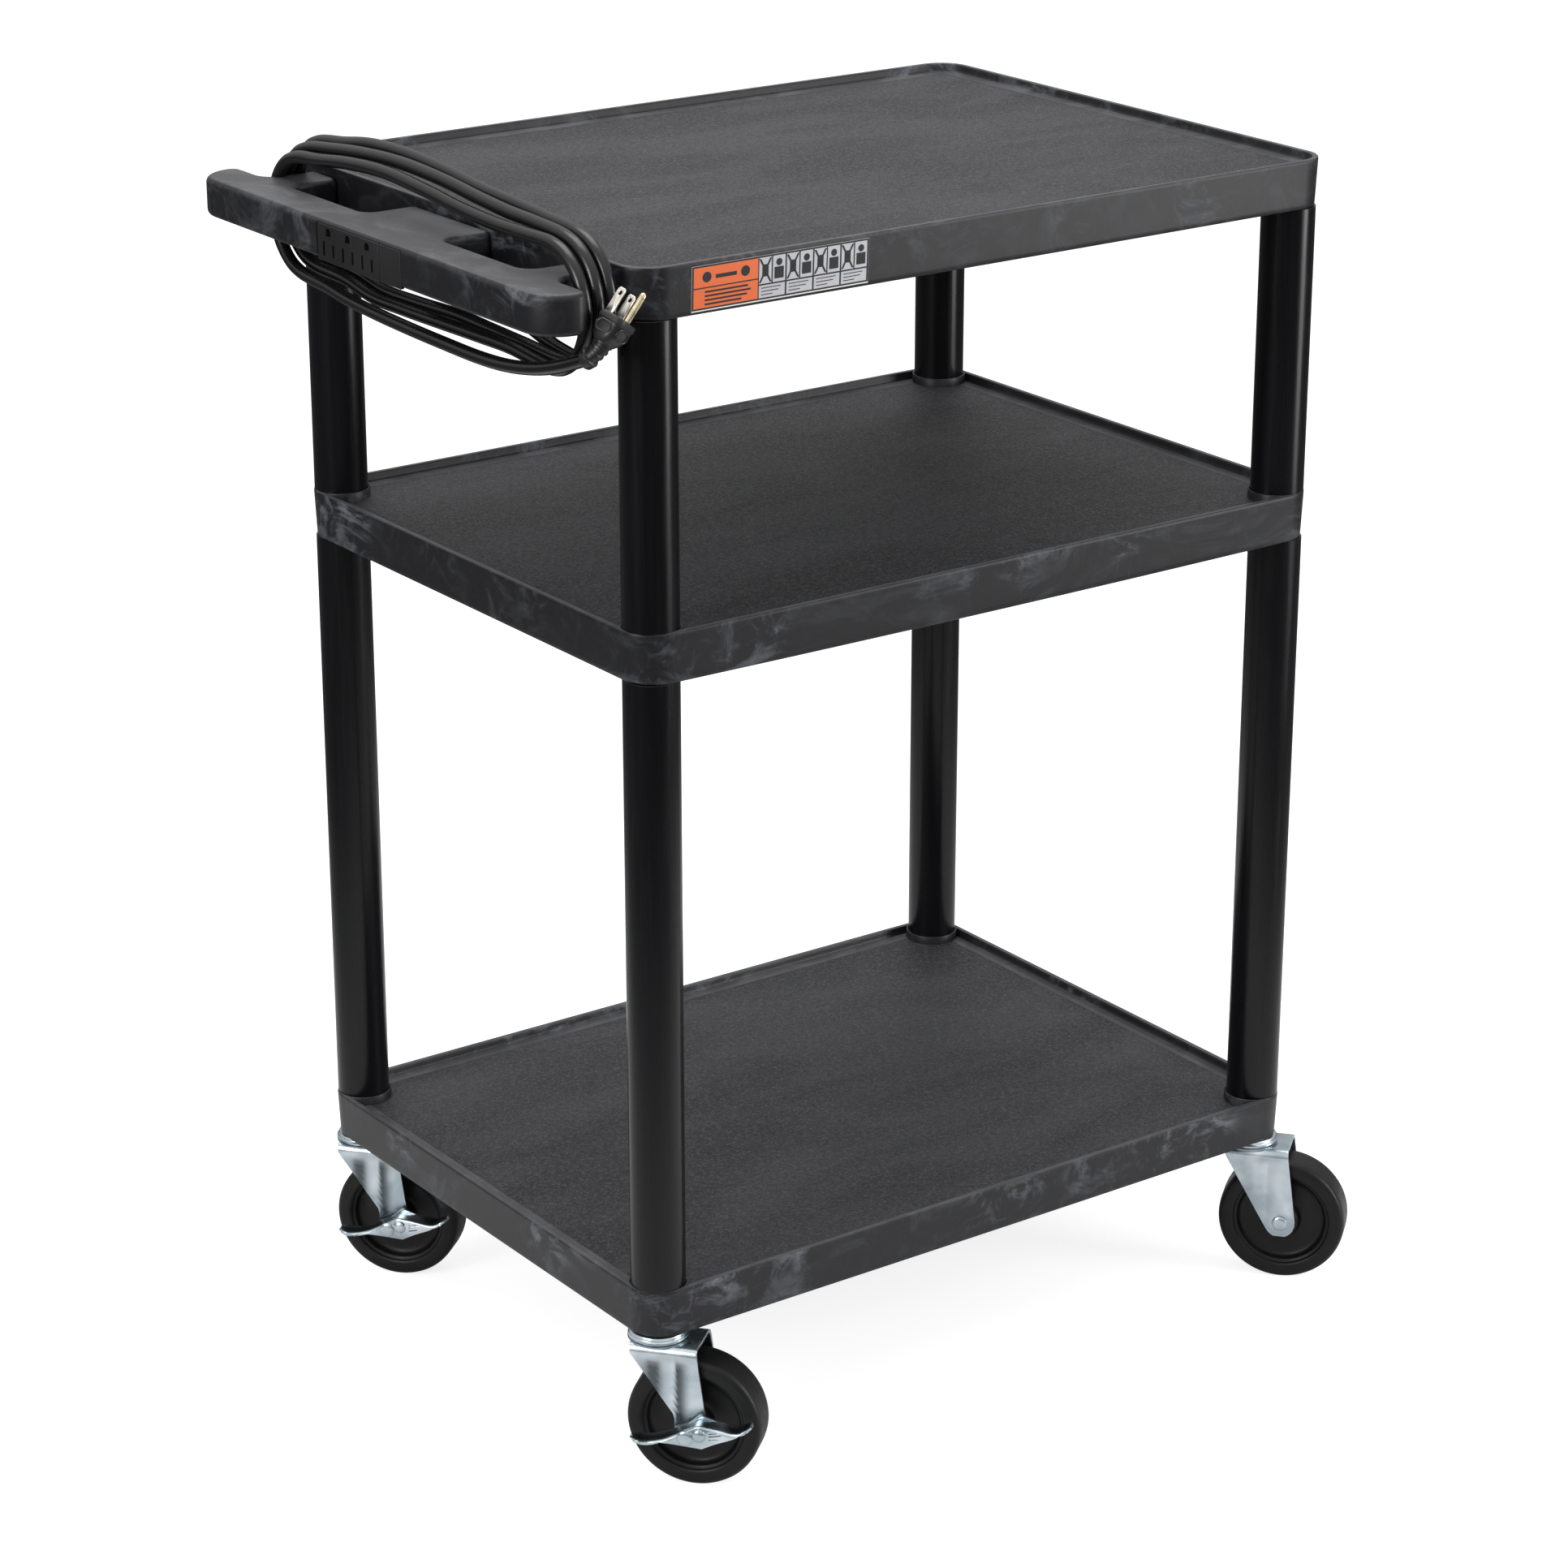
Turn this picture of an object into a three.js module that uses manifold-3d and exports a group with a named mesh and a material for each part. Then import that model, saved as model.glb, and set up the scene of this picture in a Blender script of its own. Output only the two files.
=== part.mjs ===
// Rolling utility cart: three moulded shelves on push-fit tube legs, a push handle with a power outlet strip
// and a wound-up power cord, and four swivel casters, two of them with a side brake.
// Millimetres, +Z up. +X points away from the push handle, -Y is the side with the product label, the floor is z = 0.
import * as THREE from 'three';
import { mergeVertices } from 'three/addons/utils/BufferGeometryUtils.js';
import Module from 'manifold-3d';

// ---- driving dimensions ----
const SHELF_LENGTH = 609.6;      // along X, 24 in
const SHELF_DEPTH = 457.2;       // along Y, 18 in
const SHELF_HEIGHT = 36;         // skirt bottom to the top of the lip
const SHELF_CORNER = 26;
const SKIRT_DRAFT = 1.5;         // how much the skirt leans in towards its bottom edge
const SKIRT_WALL = 4.5;
const LIP_HEIGHT = 6.5;
const LIP_WIDTH = 5;
const DECK_THICKNESS = 5;
const RIB_THICKNESS = 3;
const RIB_HEIGHT = 7;
const CASTER_HEIGHT = 118;       // floor to the underside of the bottom shelf
const LOWER_BAY = 457;           // clear height between the bottom and middle shelf
const UPPER_BAY = 216;           // clear height between the middle and top shelf

const LEG_RADIUS = 20;
const LEG_INSET = 22;            // leg axis to the shelf's outer faces
const LEG_BORE = 13.5;
const SPIGOT_RADIUS = 16.5;
const SPIGOT_LENGTH = 14;
const SOCKET_SINK = 4;           // how far a leg's shoulder sits below the collar's top
const COLLAR_RADIUS = 21.4;
const BOSS_RADIUS = 20;          // the socket below the deck, just inside the skirt
const GAP = 0.3;                 // clearance between pieces that touch
const CUT = 2;                   // how far a cutting solid runs past the face it cuts

const BAR_OUTER = 380.5;         // handle bar's outer face, from the shelf centre along -X
const BAR_INNER = 344;
const BAR_HALF_LENGTH = 234;
const BAR_CORNER = 16;
const BAR_BELOW_RIM = 6.5;
const BAR_HEIGHT = 28.5;
const WEB_HEIGHT = 26;
const GRIP_START = 50;           // the grip openings run from GRIP_START to GRIP_END, both ways from the middle
const GRIP_END = 157;
const WEB_END = 190;

const OUTLET_WIDTH = 111;
const OUTLET_HEIGHT = 23;
const FACEPLATE_THICKNESS = 3;
const OUTLET_DEPTH = 25;
const OUTLET_PITCH = 25.9;
const OUTLET_OFFSET = 14.4;      // middle receptacle, from the bar's middle
const SLOT_SPACING = 12.7;
const GROUND_RISE = 11.9;
const SLOT_DROP = 5.9;           // slot centres below the outlet's centre line

const CORD_DIAMETER = 9.5;
const WINDING_X = [-340.5, -310.5];
const CASTER_ANGLE = THREE.MathUtils.degToRad(-50);
const WHEEL_RADIUS = 50;
const WHEEL_HALF_WIDTH = 15;
const HUB_HALF_WIDTH = 16.5;
const TRAIL = 29;                // axle behind the swivel axis
const FORK_INNER = 18;           // inner faces of the fork plates, from the wheel's middle
const FORK_PLATE = 2.5;
const AXLE_RADIUS = 4;
const STEM_RADIUS = 5.5;
const BRAKE_REACH = 37;          // outer edge of the brake lever, from the wheel's middle
const BRAKE_HALF_LENGTH = 46;
const BRAKE_TILT = THREE.MathUtils.degToRad(12.5);

const FOOTPRINT_SHIFT = [18, 30, 0];   // brings the middle of the cart's footprint to the origin

// ---- derived levels ----
const BOTTOM_SHELF_Z = CASTER_HEIGHT;
const MIDDLE_SHELF_Z = BOTTOM_SHELF_Z + SHELF_HEIGHT + LOWER_BAY;
const TOP_SHELF_Z = MIDDLE_SHELF_Z + SHELF_HEIGHT + UPPER_BAY;
const RIM_Z = TOP_SHELF_Z + SHELF_HEIGHT;
const BAR_TOP = RIM_Z - BAR_BELOW_RIM;
const BAR_BOTTOM = BAR_TOP - BAR_HEIGHT;
const WEB_BOTTOM = BAR_TOP - WEB_HEIGHT;
const LEG_X = SHELF_LENGTH / 2 - LEG_INSET;
const LEG_Y = SHELF_DEPTH / 2 - LEG_INSET;
const CORNERS = [
  { name: 'front_left', x: -LEG_X, y: -LEG_Y, braked: true },
  { name: 'front_right', x: LEG_X, y: -LEG_Y, braked: false },
  { name: 'back_left', x: -LEG_X, y: LEG_Y, braked: true },
  { name: 'back_right', x: LEG_X, y: LEG_Y, braked: false },
];

// ---- materials ----
const finish = (color, roughness, metalness) => new THREE.MeshStandardMaterial({ color, roughness, metalness });
const FOAM_PLASTIC = finish(0x303136, 0.6, 0);
const LEG_PLASTIC = finish(0x17181b, 0.4, 0);
const OUTLET_PLASTIC = finish(0x1f2023, 0.5, 0);
const LABEL = finish(0xd8d3c6, 0.5, 0);
const BRASS = finish(0xb98f45, 0.35, 1);
const CORD_JACKET = finish(0x111215, 0.45, 0);
const NICKEL = finish(0xc8c3b2, 0.3, 1);
const ZINC = finish(0xb7bec4, 0.35, 1);
const WHEEL_PLASTIC = finish(0x1b1b1e, 0.5, 0);
const BUSHING_STEEL = finish(0x8f9499, 0.45, 1);

const cart = new THREE.Group();
cart.position.set(...FOOTPRINT_SHIFT);

// ---- solid helpers ----
const wasm = await Module();
wasm.setup();

function weld(geometry) {
  const bare = geometry.clone();
  bare.deleteAttribute('normal');
  bare.deleteAttribute('uv');
  return mergeVertices(bare, 1e-4);
}

function solid(geometry) {
  const welded = weld(geometry);
  const vertProperties = new Float32Array(welded.attributes.position.array);
  const triVerts = new Uint32Array(welded.index.array);
  return new wasm.Manifold(new wasm.Mesh({ numProp: 3, vertProperties, triVerts }));
}

function toGeometry(manifold) {
  const result = manifold.getMesh();
  const geometry = new THREE.BufferGeometry();
  geometry.setAttribute('position', new THREE.BufferAttribute(new Float32Array(result.vertProperties), 3));
  geometry.setIndex(new THREE.BufferAttribute(new Uint32Array(result.triVerts), 1));
  return geometry;
}

function addPiece(name, shape, material, parent = cart) {
  const geometry = shape.isBufferGeometry ? weld(shape) : toGeometry(shape);
  const mesh = new THREE.Mesh(geometry, material);
  mesh.name = name;
  parent.add(mesh);
  return mesh;
}

function box(x0, x1, y0, y1, z0, z1) {
  const geometry = new THREE.BoxGeometry(x1 - x0, y1 - y0, z1 - z0);
  return geometry.translate((x0 + x1) / 2, (y0 + y1) / 2, (z0 + z1) / 2);
}

function cylinder(radius, z0, z1, x = 0, y = 0, sides = 20) {
  const geometry = new THREE.CylinderGeometry(radius, radius, z1 - z0, sides).rotateX(Math.PI / 2);
  return geometry.translate(x, y, (z0 + z1) / 2);
}

function axialCylinder(radius, y0, y1, x, z, sides = 16) {
  const geometry = new THREE.CylinderGeometry(radius, radius, y1 - y0, sides);
  return geometry.translate(x, (y0 + y1) / 2, z);
}

// A ring or shaft turned about Z from a closed [radius, z] outline.
function turned(outline, sides) {
  const points = [...outline, outline[0]].map(([r, z]) => new THREE.Vector2(r, z));
  return new THREE.LatheGeometry(points, sides).rotateX(Math.PI / 2);
}

function roundedRect(length, depth, radius) {
  const x = length / 2 - radius;
  const y = depth / 2 - radius;
  const shape = new THREE.Shape();
  shape.absarc(x, y, radius, 0, Math.PI / 2);
  shape.absarc(-x, y, radius, Math.PI / 2, Math.PI);
  shape.absarc(-x, -y, radius, Math.PI, 1.5 * Math.PI);
  shape.absarc(x, -y, radius, 1.5 * Math.PI, 2 * Math.PI);
  return shape;
}

function slab(shape, z0, z1, curveSegments = 3) {
  const geometry = new THREE.ExtrudeGeometry(shape, { depth: z1 - z0, bevelEnabled: false, curveSegments });
  return geometry.translate(0, 0, z0);
}

function tube(points, radius, sides, steps) {
  const path = new THREE.CatmullRomCurve3(points.map((p) => new THREE.Vector3(...p)), false, 'centripetal');
  const section = new THREE.Shape();
  section.absarc(0, 0, radius, 0, 2 * Math.PI);
  return new THREE.ExtrudeGeometry(section, { extrudePath: path, steps, curveSegments: sides / 2 });
}

// ---- shelves ----
// A tray with a raised lip, a skirt that leans in slightly, ribs below the deck and a leg socket in each corner.
function shelfOutline() {
  const outline = slab(roundedRect(SHELF_LENGTH, SHELF_DEPTH, SHELF_CORNER), 0, SHELF_HEIGHT);
  const position = outline.attributes.position;
  for (let i = 0; i < position.count; i += 1) {
    if (position.getZ(i) < SHELF_HEIGHT / 2) {
      position.setX(i, position.getX(i) * (1 - 2 * SKIRT_DRAFT / SHELF_LENGTH));
      position.setY(i, position.getY(i) * (1 - 2 * SKIRT_DRAFT / SHELF_DEPTH));
    }
  }
  return solid(outline);
}

function deckRibs(deckBottom) {
  const ribBottom = deckBottom - RIB_HEIGHT;
  const halfRib = RIB_THICKNESS / 2;
  const ribs = [];
  for (const y of [-SHELF_DEPTH / 6, SHELF_DEPTH / 6]) {
    ribs.push(solid(box(-SHELF_LENGTH / 2, SHELF_LENGTH / 2, y - halfRib, y + halfRib, ribBottom, deckBottom + CUT)));
  }
  for (const x of [-SHELF_LENGTH / 4, 0, SHELF_LENGTH / 4]) {
    ribs.push(solid(box(x - halfRib, x + halfRib, -SHELF_DEPTH / 2, SHELF_DEPTH / 2, ribBottom, deckBottom + CUT)));
  }
  return ribs;
}

function makeShelf({ collars, socketsBelow, stemBores }) {
  const deckTop = SHELF_HEIGHT - LIP_HEIGHT;
  const deckBottom = deckTop - DECK_THICKNESS;
  const tray = roundedRect(SHELF_LENGTH - 2 * LIP_WIDTH, SHELF_DEPTH - 2 * LIP_WIDTH, SHELF_CORNER - LIP_WIDTH);
  const hollowLength = SHELF_LENGTH - 2 * SKIRT_WALL - 2 * SKIRT_DRAFT;
  const hollowDepth = SHELF_DEPTH - 2 * SKIRT_WALL - 2 * SKIRT_DRAFT;
  const hollow = roundedRect(hollowLength, hollowDepth, SHELF_CORNER - SKIRT_WALL);
  let trayCut = solid(slab(tray, deckTop, SHELF_HEIGHT + CUT));
  let undersideCut = solid(slab(hollow, -CUT, deckBottom));
  for (const rib of deckRibs(deckBottom)) {
    undersideCut = undersideCut.subtract(rib);
  }
  for (const { x, y } of CORNERS) {
    undersideCut = undersideCut.subtract(solid(cylinder(BOSS_RADIUS, -2 * CUT, deckBottom + CUT, x, y, 16)));
    if (collars) {
      trayCut = trayCut.subtract(solid(cylinder(COLLAR_RADIUS, deckTop - CUT, SHELF_HEIGHT + 2 * CUT, x, y)));
    }
  }
  let shelf = shelfOutline().subtract(trayCut).subtract(undersideCut);
  for (const { x, y } of CORNERS) {
    if (collars) {
      const shoulder = SHELF_HEIGHT - SOCKET_SINK;
      const floor = shoulder - SPIGOT_LENGTH - GAP;
      shelf = shelf.subtract(solid(cylinder(LEG_RADIUS + GAP, shoulder, SHELF_HEIGHT + CUT, x, y)));
      shelf = shelf.subtract(solid(cylinder(SPIGOT_RADIUS + GAP, floor, SHELF_HEIGHT + CUT, x, y)));
    }
    if (socketsBelow) {
      shelf = shelf.subtract(solid(cylinder(SPIGOT_RADIUS + GAP, -CUT, SPIGOT_LENGTH + GAP, x, y)));
    }
    if (stemBores) {
      shelf = shelf.subtract(solid(cylinder(STEM_RADIUS + GAP, -CUT, SHELF_HEIGHT, x, y, 12)));
    }
  }
  return shelf;
}

const SHELVES = [
  { name: 'bottom_shelf', z: BOTTOM_SHELF_Z, build: { collars: true, socketsBelow: false, stemBores: true } },
  { name: 'middle_shelf', z: MIDDLE_SHELF_Z, build: { collars: true, socketsBelow: true, stemBores: false } },
  { name: 'top_shelf', z: TOP_SHELF_Z, build: { collars: false, socketsBelow: true, stemBores: false } },
];
for (const { name, z, build } of SHELVES) {
  addPiece(name, makeShelf(build), FOAM_PLASTIC).position.z = z;
}

// ---- legs ----
// Tubes with a thinner spigot at each end that pushes into the shelf sockets.
const LEG_TIERS = [
  { name: 'lower_leg', from: BOTTOM_SHELF_Z + SHELF_HEIGHT, to: MIDDLE_SHELF_Z },
  { name: 'upper_leg', from: MIDDLE_SHELF_Z + SHELF_HEIGHT, to: TOP_SHELF_Z },
];
for (const { name, from, to } of LEG_TIERS) {
  const foot = from - SOCKET_SINK + GAP;
  const head = to - GAP;
  const outline = [
    [LEG_BORE, foot - SPIGOT_LENGTH], [SPIGOT_RADIUS, foot - SPIGOT_LENGTH], [SPIGOT_RADIUS, foot], [LEG_RADIUS, foot],
    [LEG_RADIUS, head], [SPIGOT_RADIUS, head], [SPIGOT_RADIUS, head + SPIGOT_LENGTH], [LEG_BORE, head + SPIGOT_LENGTH],
  ];
  for (const corner of CORNERS) {
    addPiece(`${name}_${corner.name}`, turned(outline, 16), LEG_PLASTIC).position.set(corner.x, corner.y, 0);
  }
}

// ---- push handle ----
// A bar parallel to the short side of the top shelf on three webs, with two grip openings between them.
const barLength = BAR_OUTER - BAR_INNER;
const barX = -(BAR_OUTER + BAR_INNER) / 2;
const outletZ = BAR_TOP - BAR_HEIGHT / 2;
const webStart = -SHELF_LENGTH / 2 - GAP;
const plateBack = -BAR_OUTER + FACEPLATE_THICKNESS + GAP;
const pocketHalfWidth = OUTLET_WIDTH / 2 - 3;
const pocketHalfHeight = OUTLET_HEIGHT / 2 - 2;

function makeHandle() {
  let handle = solid(slab(roundedRect(barLength, 2 * BAR_HALF_LENGTH, BAR_CORNER), BAR_BOTTOM, BAR_TOP)
    .translate(barX, 0, 0));
  for (const [y0, y1] of [[-WEB_END, -GRIP_END], [-GRIP_START, GRIP_START], [GRIP_END, WEB_END]]) {
    handle = handle.add(solid(box(-BAR_INNER - CUT, webStart, y0, y1, WEB_BOTTOM, BAR_TOP)));
  }
  const halfWidth = OUTLET_WIDTH / 2 + GAP;
  const halfHeight = OUTLET_HEIGHT / 2 + GAP;
  return handle
    .subtract(solid(box(-BAR_OUTER - CUT, plateBack, -halfWidth, halfWidth, outletZ - halfHeight, outletZ + halfHeight)))
    .subtract(solid(box(-BAR_OUTER - CUT, plateBack + OUTLET_DEPTH, -pocketHalfWidth, pocketHalfWidth,
      outletZ - pocketHalfHeight, outletZ + pocketHalfHeight)));
}
addPiece('push_handle', makeHandle(), FOAM_PLASTIC);

// ---- outlet strip: faceplate, body and the three contact bars behind the slots ----
const RECEPTACLES = [-1, 0, 1].map((i) => OUTLET_OFFSET + i * OUTLET_PITCH);
const SLOT_HALF_HEIGHT = 4;
const slotZ = outletZ - SLOT_DROP;
const groundZ = slotZ + GROUND_RISE;
const CHANNELS = [
  { name: 'contact_bar_ground', z: groundZ },
  { name: 'contact_bar_line', z: slotZ + 2.2 },
  { name: 'contact_bar_neutral', z: slotZ - 2.2 },
];
const CHANNEL_HALF_HEIGHT = 1.3;
const CHANNEL_DEPTH = 17;
const BAR_HALF_THICKNESS = 0.8;

function makeFaceplate() {
  let plate = solid(box(-BAR_OUTER, -BAR_OUTER + FACEPLATE_THICKNESS, -OUTLET_WIDTH / 2, OUTLET_WIDTH / 2,
    outletZ - OUTLET_HEIGHT / 2, outletZ + OUTLET_HEIGHT / 2));
  const front = -BAR_OUTER - CUT;
  const back = -BAR_OUTER + FACEPLATE_THICKNESS + CUT;
  for (const y of RECEPTACLES) {
    for (const side of [-1, 1]) {
      const slotY = y + side * SLOT_SPACING / 2;
      plate = plate.subtract(solid(box(front, back, slotY - 1, slotY + 1,
        slotZ - SLOT_HALF_HEIGHT, slotZ + SLOT_HALF_HEIGHT)));
    }
    const ground = new THREE.CylinderGeometry(2.5, 2.5, back - front, 8).rotateZ(Math.PI / 2);
    plate = plate.subtract(solid(ground.translate((front + back) / 2, y, groundZ)));
  }
  return plate;
}

function makeOutletBody() {
  const front = plateBack;
  const halfWidth = pocketHalfWidth - GAP;
  const halfHeight = pocketHalfHeight - GAP;
  let body = solid(box(front, front + OUTLET_DEPTH - 2 * GAP, -halfWidth, halfWidth,
    outletZ - halfHeight, outletZ + halfHeight));
  for (const { z } of CHANNELS) {
    body = body.subtract(solid(box(front - CUT, front + CHANNEL_DEPTH, -halfWidth + 3, halfWidth - 3,
      z - CHANNEL_HALF_HEIGHT, z + CHANNEL_HALF_HEIGHT)));
  }
  return body;
}
addPiece('outlet_faceplate', makeFaceplate(), OUTLET_PLASTIC);
addPiece('outlet_body', makeOutletBody(), OUTLET_PLASTIC);
for (const { name, z } of CHANNELS) {
  addPiece(name, box(plateBack + 1, plateBack + CHANNEL_DEPTH - 1, -pocketHalfWidth + 5, pocketHalfWidth - 5,
    z - BAR_HALF_THICKNESS, z + BAR_HALF_THICKNESS), BRASS);
}

// ---- power cord: gland, lead, winding round the handle's end webs, tail and plug ----
const GLAND = { x: -316, z: 857, blockFrom: -2, blockTo: 26, noseTip: -30 };

function makeGland() {
  const block = solid(box(GLAND.x - 7, GLAND.x + 6.5, GLAND.blockFrom, GLAND.blockTo, GLAND.z - 7.5, WEB_BOTTOM - GAP));
  const noseLength = GLAND.blockFrom - GLAND.noseTip + CUT;
  const nose = new THREE.CylinderGeometry(6.5, 5.6, noseLength, 12);
  return block.add(solid(nose.translate(GLAND.x, GLAND.blockFrom + CUT - noseLength / 2, GLAND.z)));
}
addPiece('cord_gland', makeGland(), CORD_JACKET);

const LEAD_ROUTE = [
  [GLAND.x, GLAND.noseTip - GAP, GLAND.z], [GLAND.x, -52, 856], [GLAND.x, -74, 852.5], [GLAND.x, -94, 847],
  [GLAND.x, -112, 840.8],
];
addPiece('cord_lead', tube(LEAD_ROUTE, CORD_DIAMETER / 2, 10, 6), CORD_JACKET);

const WINDING = { outerHalf: 218, innerHalf: 207.5, top: 937, bottom: 820, holeTop: 905, holeBottom: 835 };
function makeWinding() {
  const ringShape = (half, low, high, radius) => roundedRect(2 * half, high - low, radius);
  const { outerHalf, innerHalf, top, bottom, holeTop, holeBottom } = WINDING;
  const width = WINDING_X[1] - WINDING_X[0];
  const stand = (geometry, middleZ) => geometry.rotateX(Math.PI / 2).rotateZ(Math.PI / 2)
    .translate(WINDING_X[0] - CUT, 0, middleZ);
  const outer = stand(slab(ringShape(outerHalf, bottom, top, 46), CUT, CUT + width), (top + bottom) / 2);
  const hole = stand(slab(ringShape(innerHalf, holeBottom, holeTop, 24), 0, 2 * CUT + width),
    (holeTop + holeBottom) / 2);
  return solid(outer).subtract(solid(hole));
}
addPiece('cord_winding', makeWinding(), CORD_JACKET);

const TAIL_ROUTE = [
  [-345.8, 158, 830], [-345.8, 130, 826.5], [-345.8, 95, 823], [-345.8, 50, 820.8], [-345.8, 0, 820.1],
  [-345.8, -50, 820], [-345.8, -96, 820.3], [-345.8, -130, 822.2], [-345.8, -160, 826.4], [-345.8, -185, 830.6],
  [-346.6, -208, 834], [-348.2, -224, 836.2], [-349.2, -232.5, 838.8], [-347.5, -233.9, 842.3],
  [-344.3, -234.2, 846.6],
];
addPiece('cord_tail', tube(TAIL_ROUTE, CORD_DIAMETER / 2, 10, 24), CORD_JACKET);

// The plug's own frame: z along the blades, x from blade to blade, y towards the ground pin.
const PLUG_FACE = new THREE.Vector3(-324.7, -236.5, 872.5);
const PLUG_AXIS = new THREE.Vector3(0.6, -0.07, 0.795).normalize();
const BLADE_ACROSS = new THREE.Vector3(-0.776, -0.287, 0.563);
const BLADE_LENGTH = 18.2;
const plug = new THREE.Group();
const plugY = new THREE.Vector3().crossVectors(PLUG_AXIS, BLADE_ACROSS).normalize();
const plugX = new THREE.Vector3().crossVectors(plugY, PLUG_AXIS);
plug.applyMatrix4(new THREE.Matrix4().makeBasis(plugX, plugY, PLUG_AXIS).setPosition(PLUG_FACE));
cart.add(plug);

const PLUG_BODY_LENGTH = 19;
const PLUG_LENGTH = 32;
const BLADE_Y = -5;
function makePlugBody() {
  const body = solid(slab(roundedRect(22, 21.5, 6), -PLUG_BODY_LENGTH, 0, 2));
  const reliefLength = PLUG_LENGTH - PLUG_BODY_LENGTH + CUT;
  const relief = new THREE.CylinderGeometry(8, 5.6, reliefLength, 12).rotateX(Math.PI / 2);
  return body.add(solid(relief.translate(0, 0, -PLUG_LENGTH + reliefLength / 2)));
}
addPiece('plug_body', makePlugBody(), CORD_JACKET, plug);
for (const [name, side] of [['plug_blade_line', -1], ['plug_blade_neutral', 1]]) {
  const x = side * SLOT_SPACING / 2;
  const blade = solid(box(x - 0.75, x + 0.75, BLADE_Y - 3.2, BLADE_Y + 3.2, GAP, BLADE_LENGTH));
  const hole = new THREE.CylinderGeometry(1.6, 1.6, 6, 8).rotateZ(Math.PI / 2).translate(x, BLADE_Y, BLADE_LENGTH - 4);
  addPiece(name, blade.subtract(solid(hole)), NICKEL, plug);
}
const groundPin = new THREE.LatheGeometry([
  [0, GAP], [2.4, GAP], [2.4, 19.6], [1.6, 21.8], [0, 22.4],
].map(([r, z]) => new THREE.Vector2(r, z)), 12).rotateX(Math.PI / 2);
addPiece('plug_ground_pin', groundPin.translate(0, BLADE_Y + GROUND_RISE, 0), NICKEL, plug);

// ---- product label on the front skirt, leaning with the skirt ----
const LABEL_SIZE = [145, 0.4, 31];
const label = addPiece('product_label', new THREE.BoxGeometry(...LABEL_SIZE), LABEL);
const skirtLean = Math.atan2(SKIRT_DRAFT, SHELF_HEIGHT);
const labelMiddle = RIM_Z - 18.5;
const skirtAtLabel = SHELF_DEPTH / 2 - SKIRT_DRAFT * (RIM_Z - labelMiddle) / SHELF_HEIGHT;
label.position.set(-189.5, -skirtAtLabel - GAP - LABEL_SIZE[1] / 2, labelMiddle);
label.rotation.x = skirtLean;

// ---- casters ----
// Each caster's own frame has its swivel axis on Z and trails along +X; -Y is the brake side.
const PLATE_TOP = CASTER_HEIGHT - 6.5;
const PLATE_BOTTOM = PLATE_TOP - 3;
const FORK_FRONT = -17;
const FORK_REAR = 33;
const forkOuter = FORK_INNER + FORK_PLATE;

const STEM_OUTLINE = [
  [0, PLATE_BOTTOM - 4], [9, PLATE_BOTTOM - 4], [9, PLATE_BOTTOM - GAP], [STEM_RADIUS, PLATE_BOTTOM - GAP],
  [STEM_RADIUS, CASTER_HEIGHT + 31], [3.5, CASTER_HEIGHT + 34], [0, CASTER_HEIGHT + 34],
];
const CUP_OUTLINE = [
  [STEM_RADIUS + GAP, PLATE_TOP + 3.2], [19.2, PLATE_TOP + 3.2], [19.2, PLATE_TOP + 0.9], [22, PLATE_TOP + 0.9],
  [22, PLATE_TOP + 4], [20.5, CASTER_HEIGHT - GAP], [STEM_RADIUS + GAP, CASTER_HEIGHT - GAP],
];
const BALL_RING_OUTLINE = [
  [12.5, PLATE_TOP + GAP], [18.5, PLATE_TOP + GAP], [18.5, PLATE_TOP + 2.9], [12.5, PLATE_TOP + 2.9],
];
const WHEEL_OUTLINE = [
  [6.2, -HUB_HALF_WIDTH], [13, -HUB_HALF_WIDTH], [14, -9], [34.5, -9], [36.5, -WHEEL_HALF_WIDTH],
  [46.5, -WHEEL_HALF_WIDTH], [WHEEL_RADIUS, -11.5], [WHEEL_RADIUS, 11.5], [46.5, WHEEL_HALF_WIDTH],
  [36.5, WHEEL_HALF_WIDTH], [34.5, 9], [14, 9], [13, HUB_HALF_WIDTH], [6.2, HUB_HALF_WIDTH],
];
const BUSHING_OUTLINE = [
  [AXLE_RADIUS + 0.2, -FORK_INNER + GAP], [6, -FORK_INNER + GAP], [6, FORK_INNER - GAP],
  [AXLE_RADIUS + 0.2, FORK_INNER - GAP],
];

function onAxle(geometry) {
  return geometry.rotateX(-Math.PI / 2).translate(TRAIL, 0, WHEEL_RADIUS);
}

function makeFork() {
  const side = new THREE.Shape();
  side.moveTo(FORK_FRONT, PLATE_TOP);
  side.lineTo(FORK_FRONT + 1, PLATE_TOP - 7);
  side.lineTo(TRAIL - 11.5, WHEEL_RADIUS + 6);
  side.absarc(TRAIL, WHEEL_RADIUS, 12, Math.PI, 2.02 * Math.PI);
  side.lineTo(FORK_REAR, PLATE_TOP);
  const plates = [-forkOuter, FORK_INNER].map((y) => solid(
    new THREE.ExtrudeGeometry(side, { depth: FORK_PLATE, bevelEnabled: false, curveSegments: 5 })
      .rotateX(Math.PI / 2).translate(0, y + FORK_PLATE, 0)));
  let fork = solid(box(FORK_FRONT, FORK_REAR, -forkOuter, forkOuter, PLATE_BOTTOM, PLATE_TOP));
  for (const plate of plates) {
    fork = fork.add(plate);
  }
  return fork
    .subtract(solid(cylinder(STEM_RADIUS + GAP, PLATE_BOTTOM - CUT, PLATE_TOP + CUT, 0, 0, 12)))
    .subtract(solid(axialCylinder(AXLE_RADIUS + GAP, -forkOuter - CUT, forkOuter + CUT, TRAIL, WHEEL_RADIUS, 12)));
}

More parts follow.
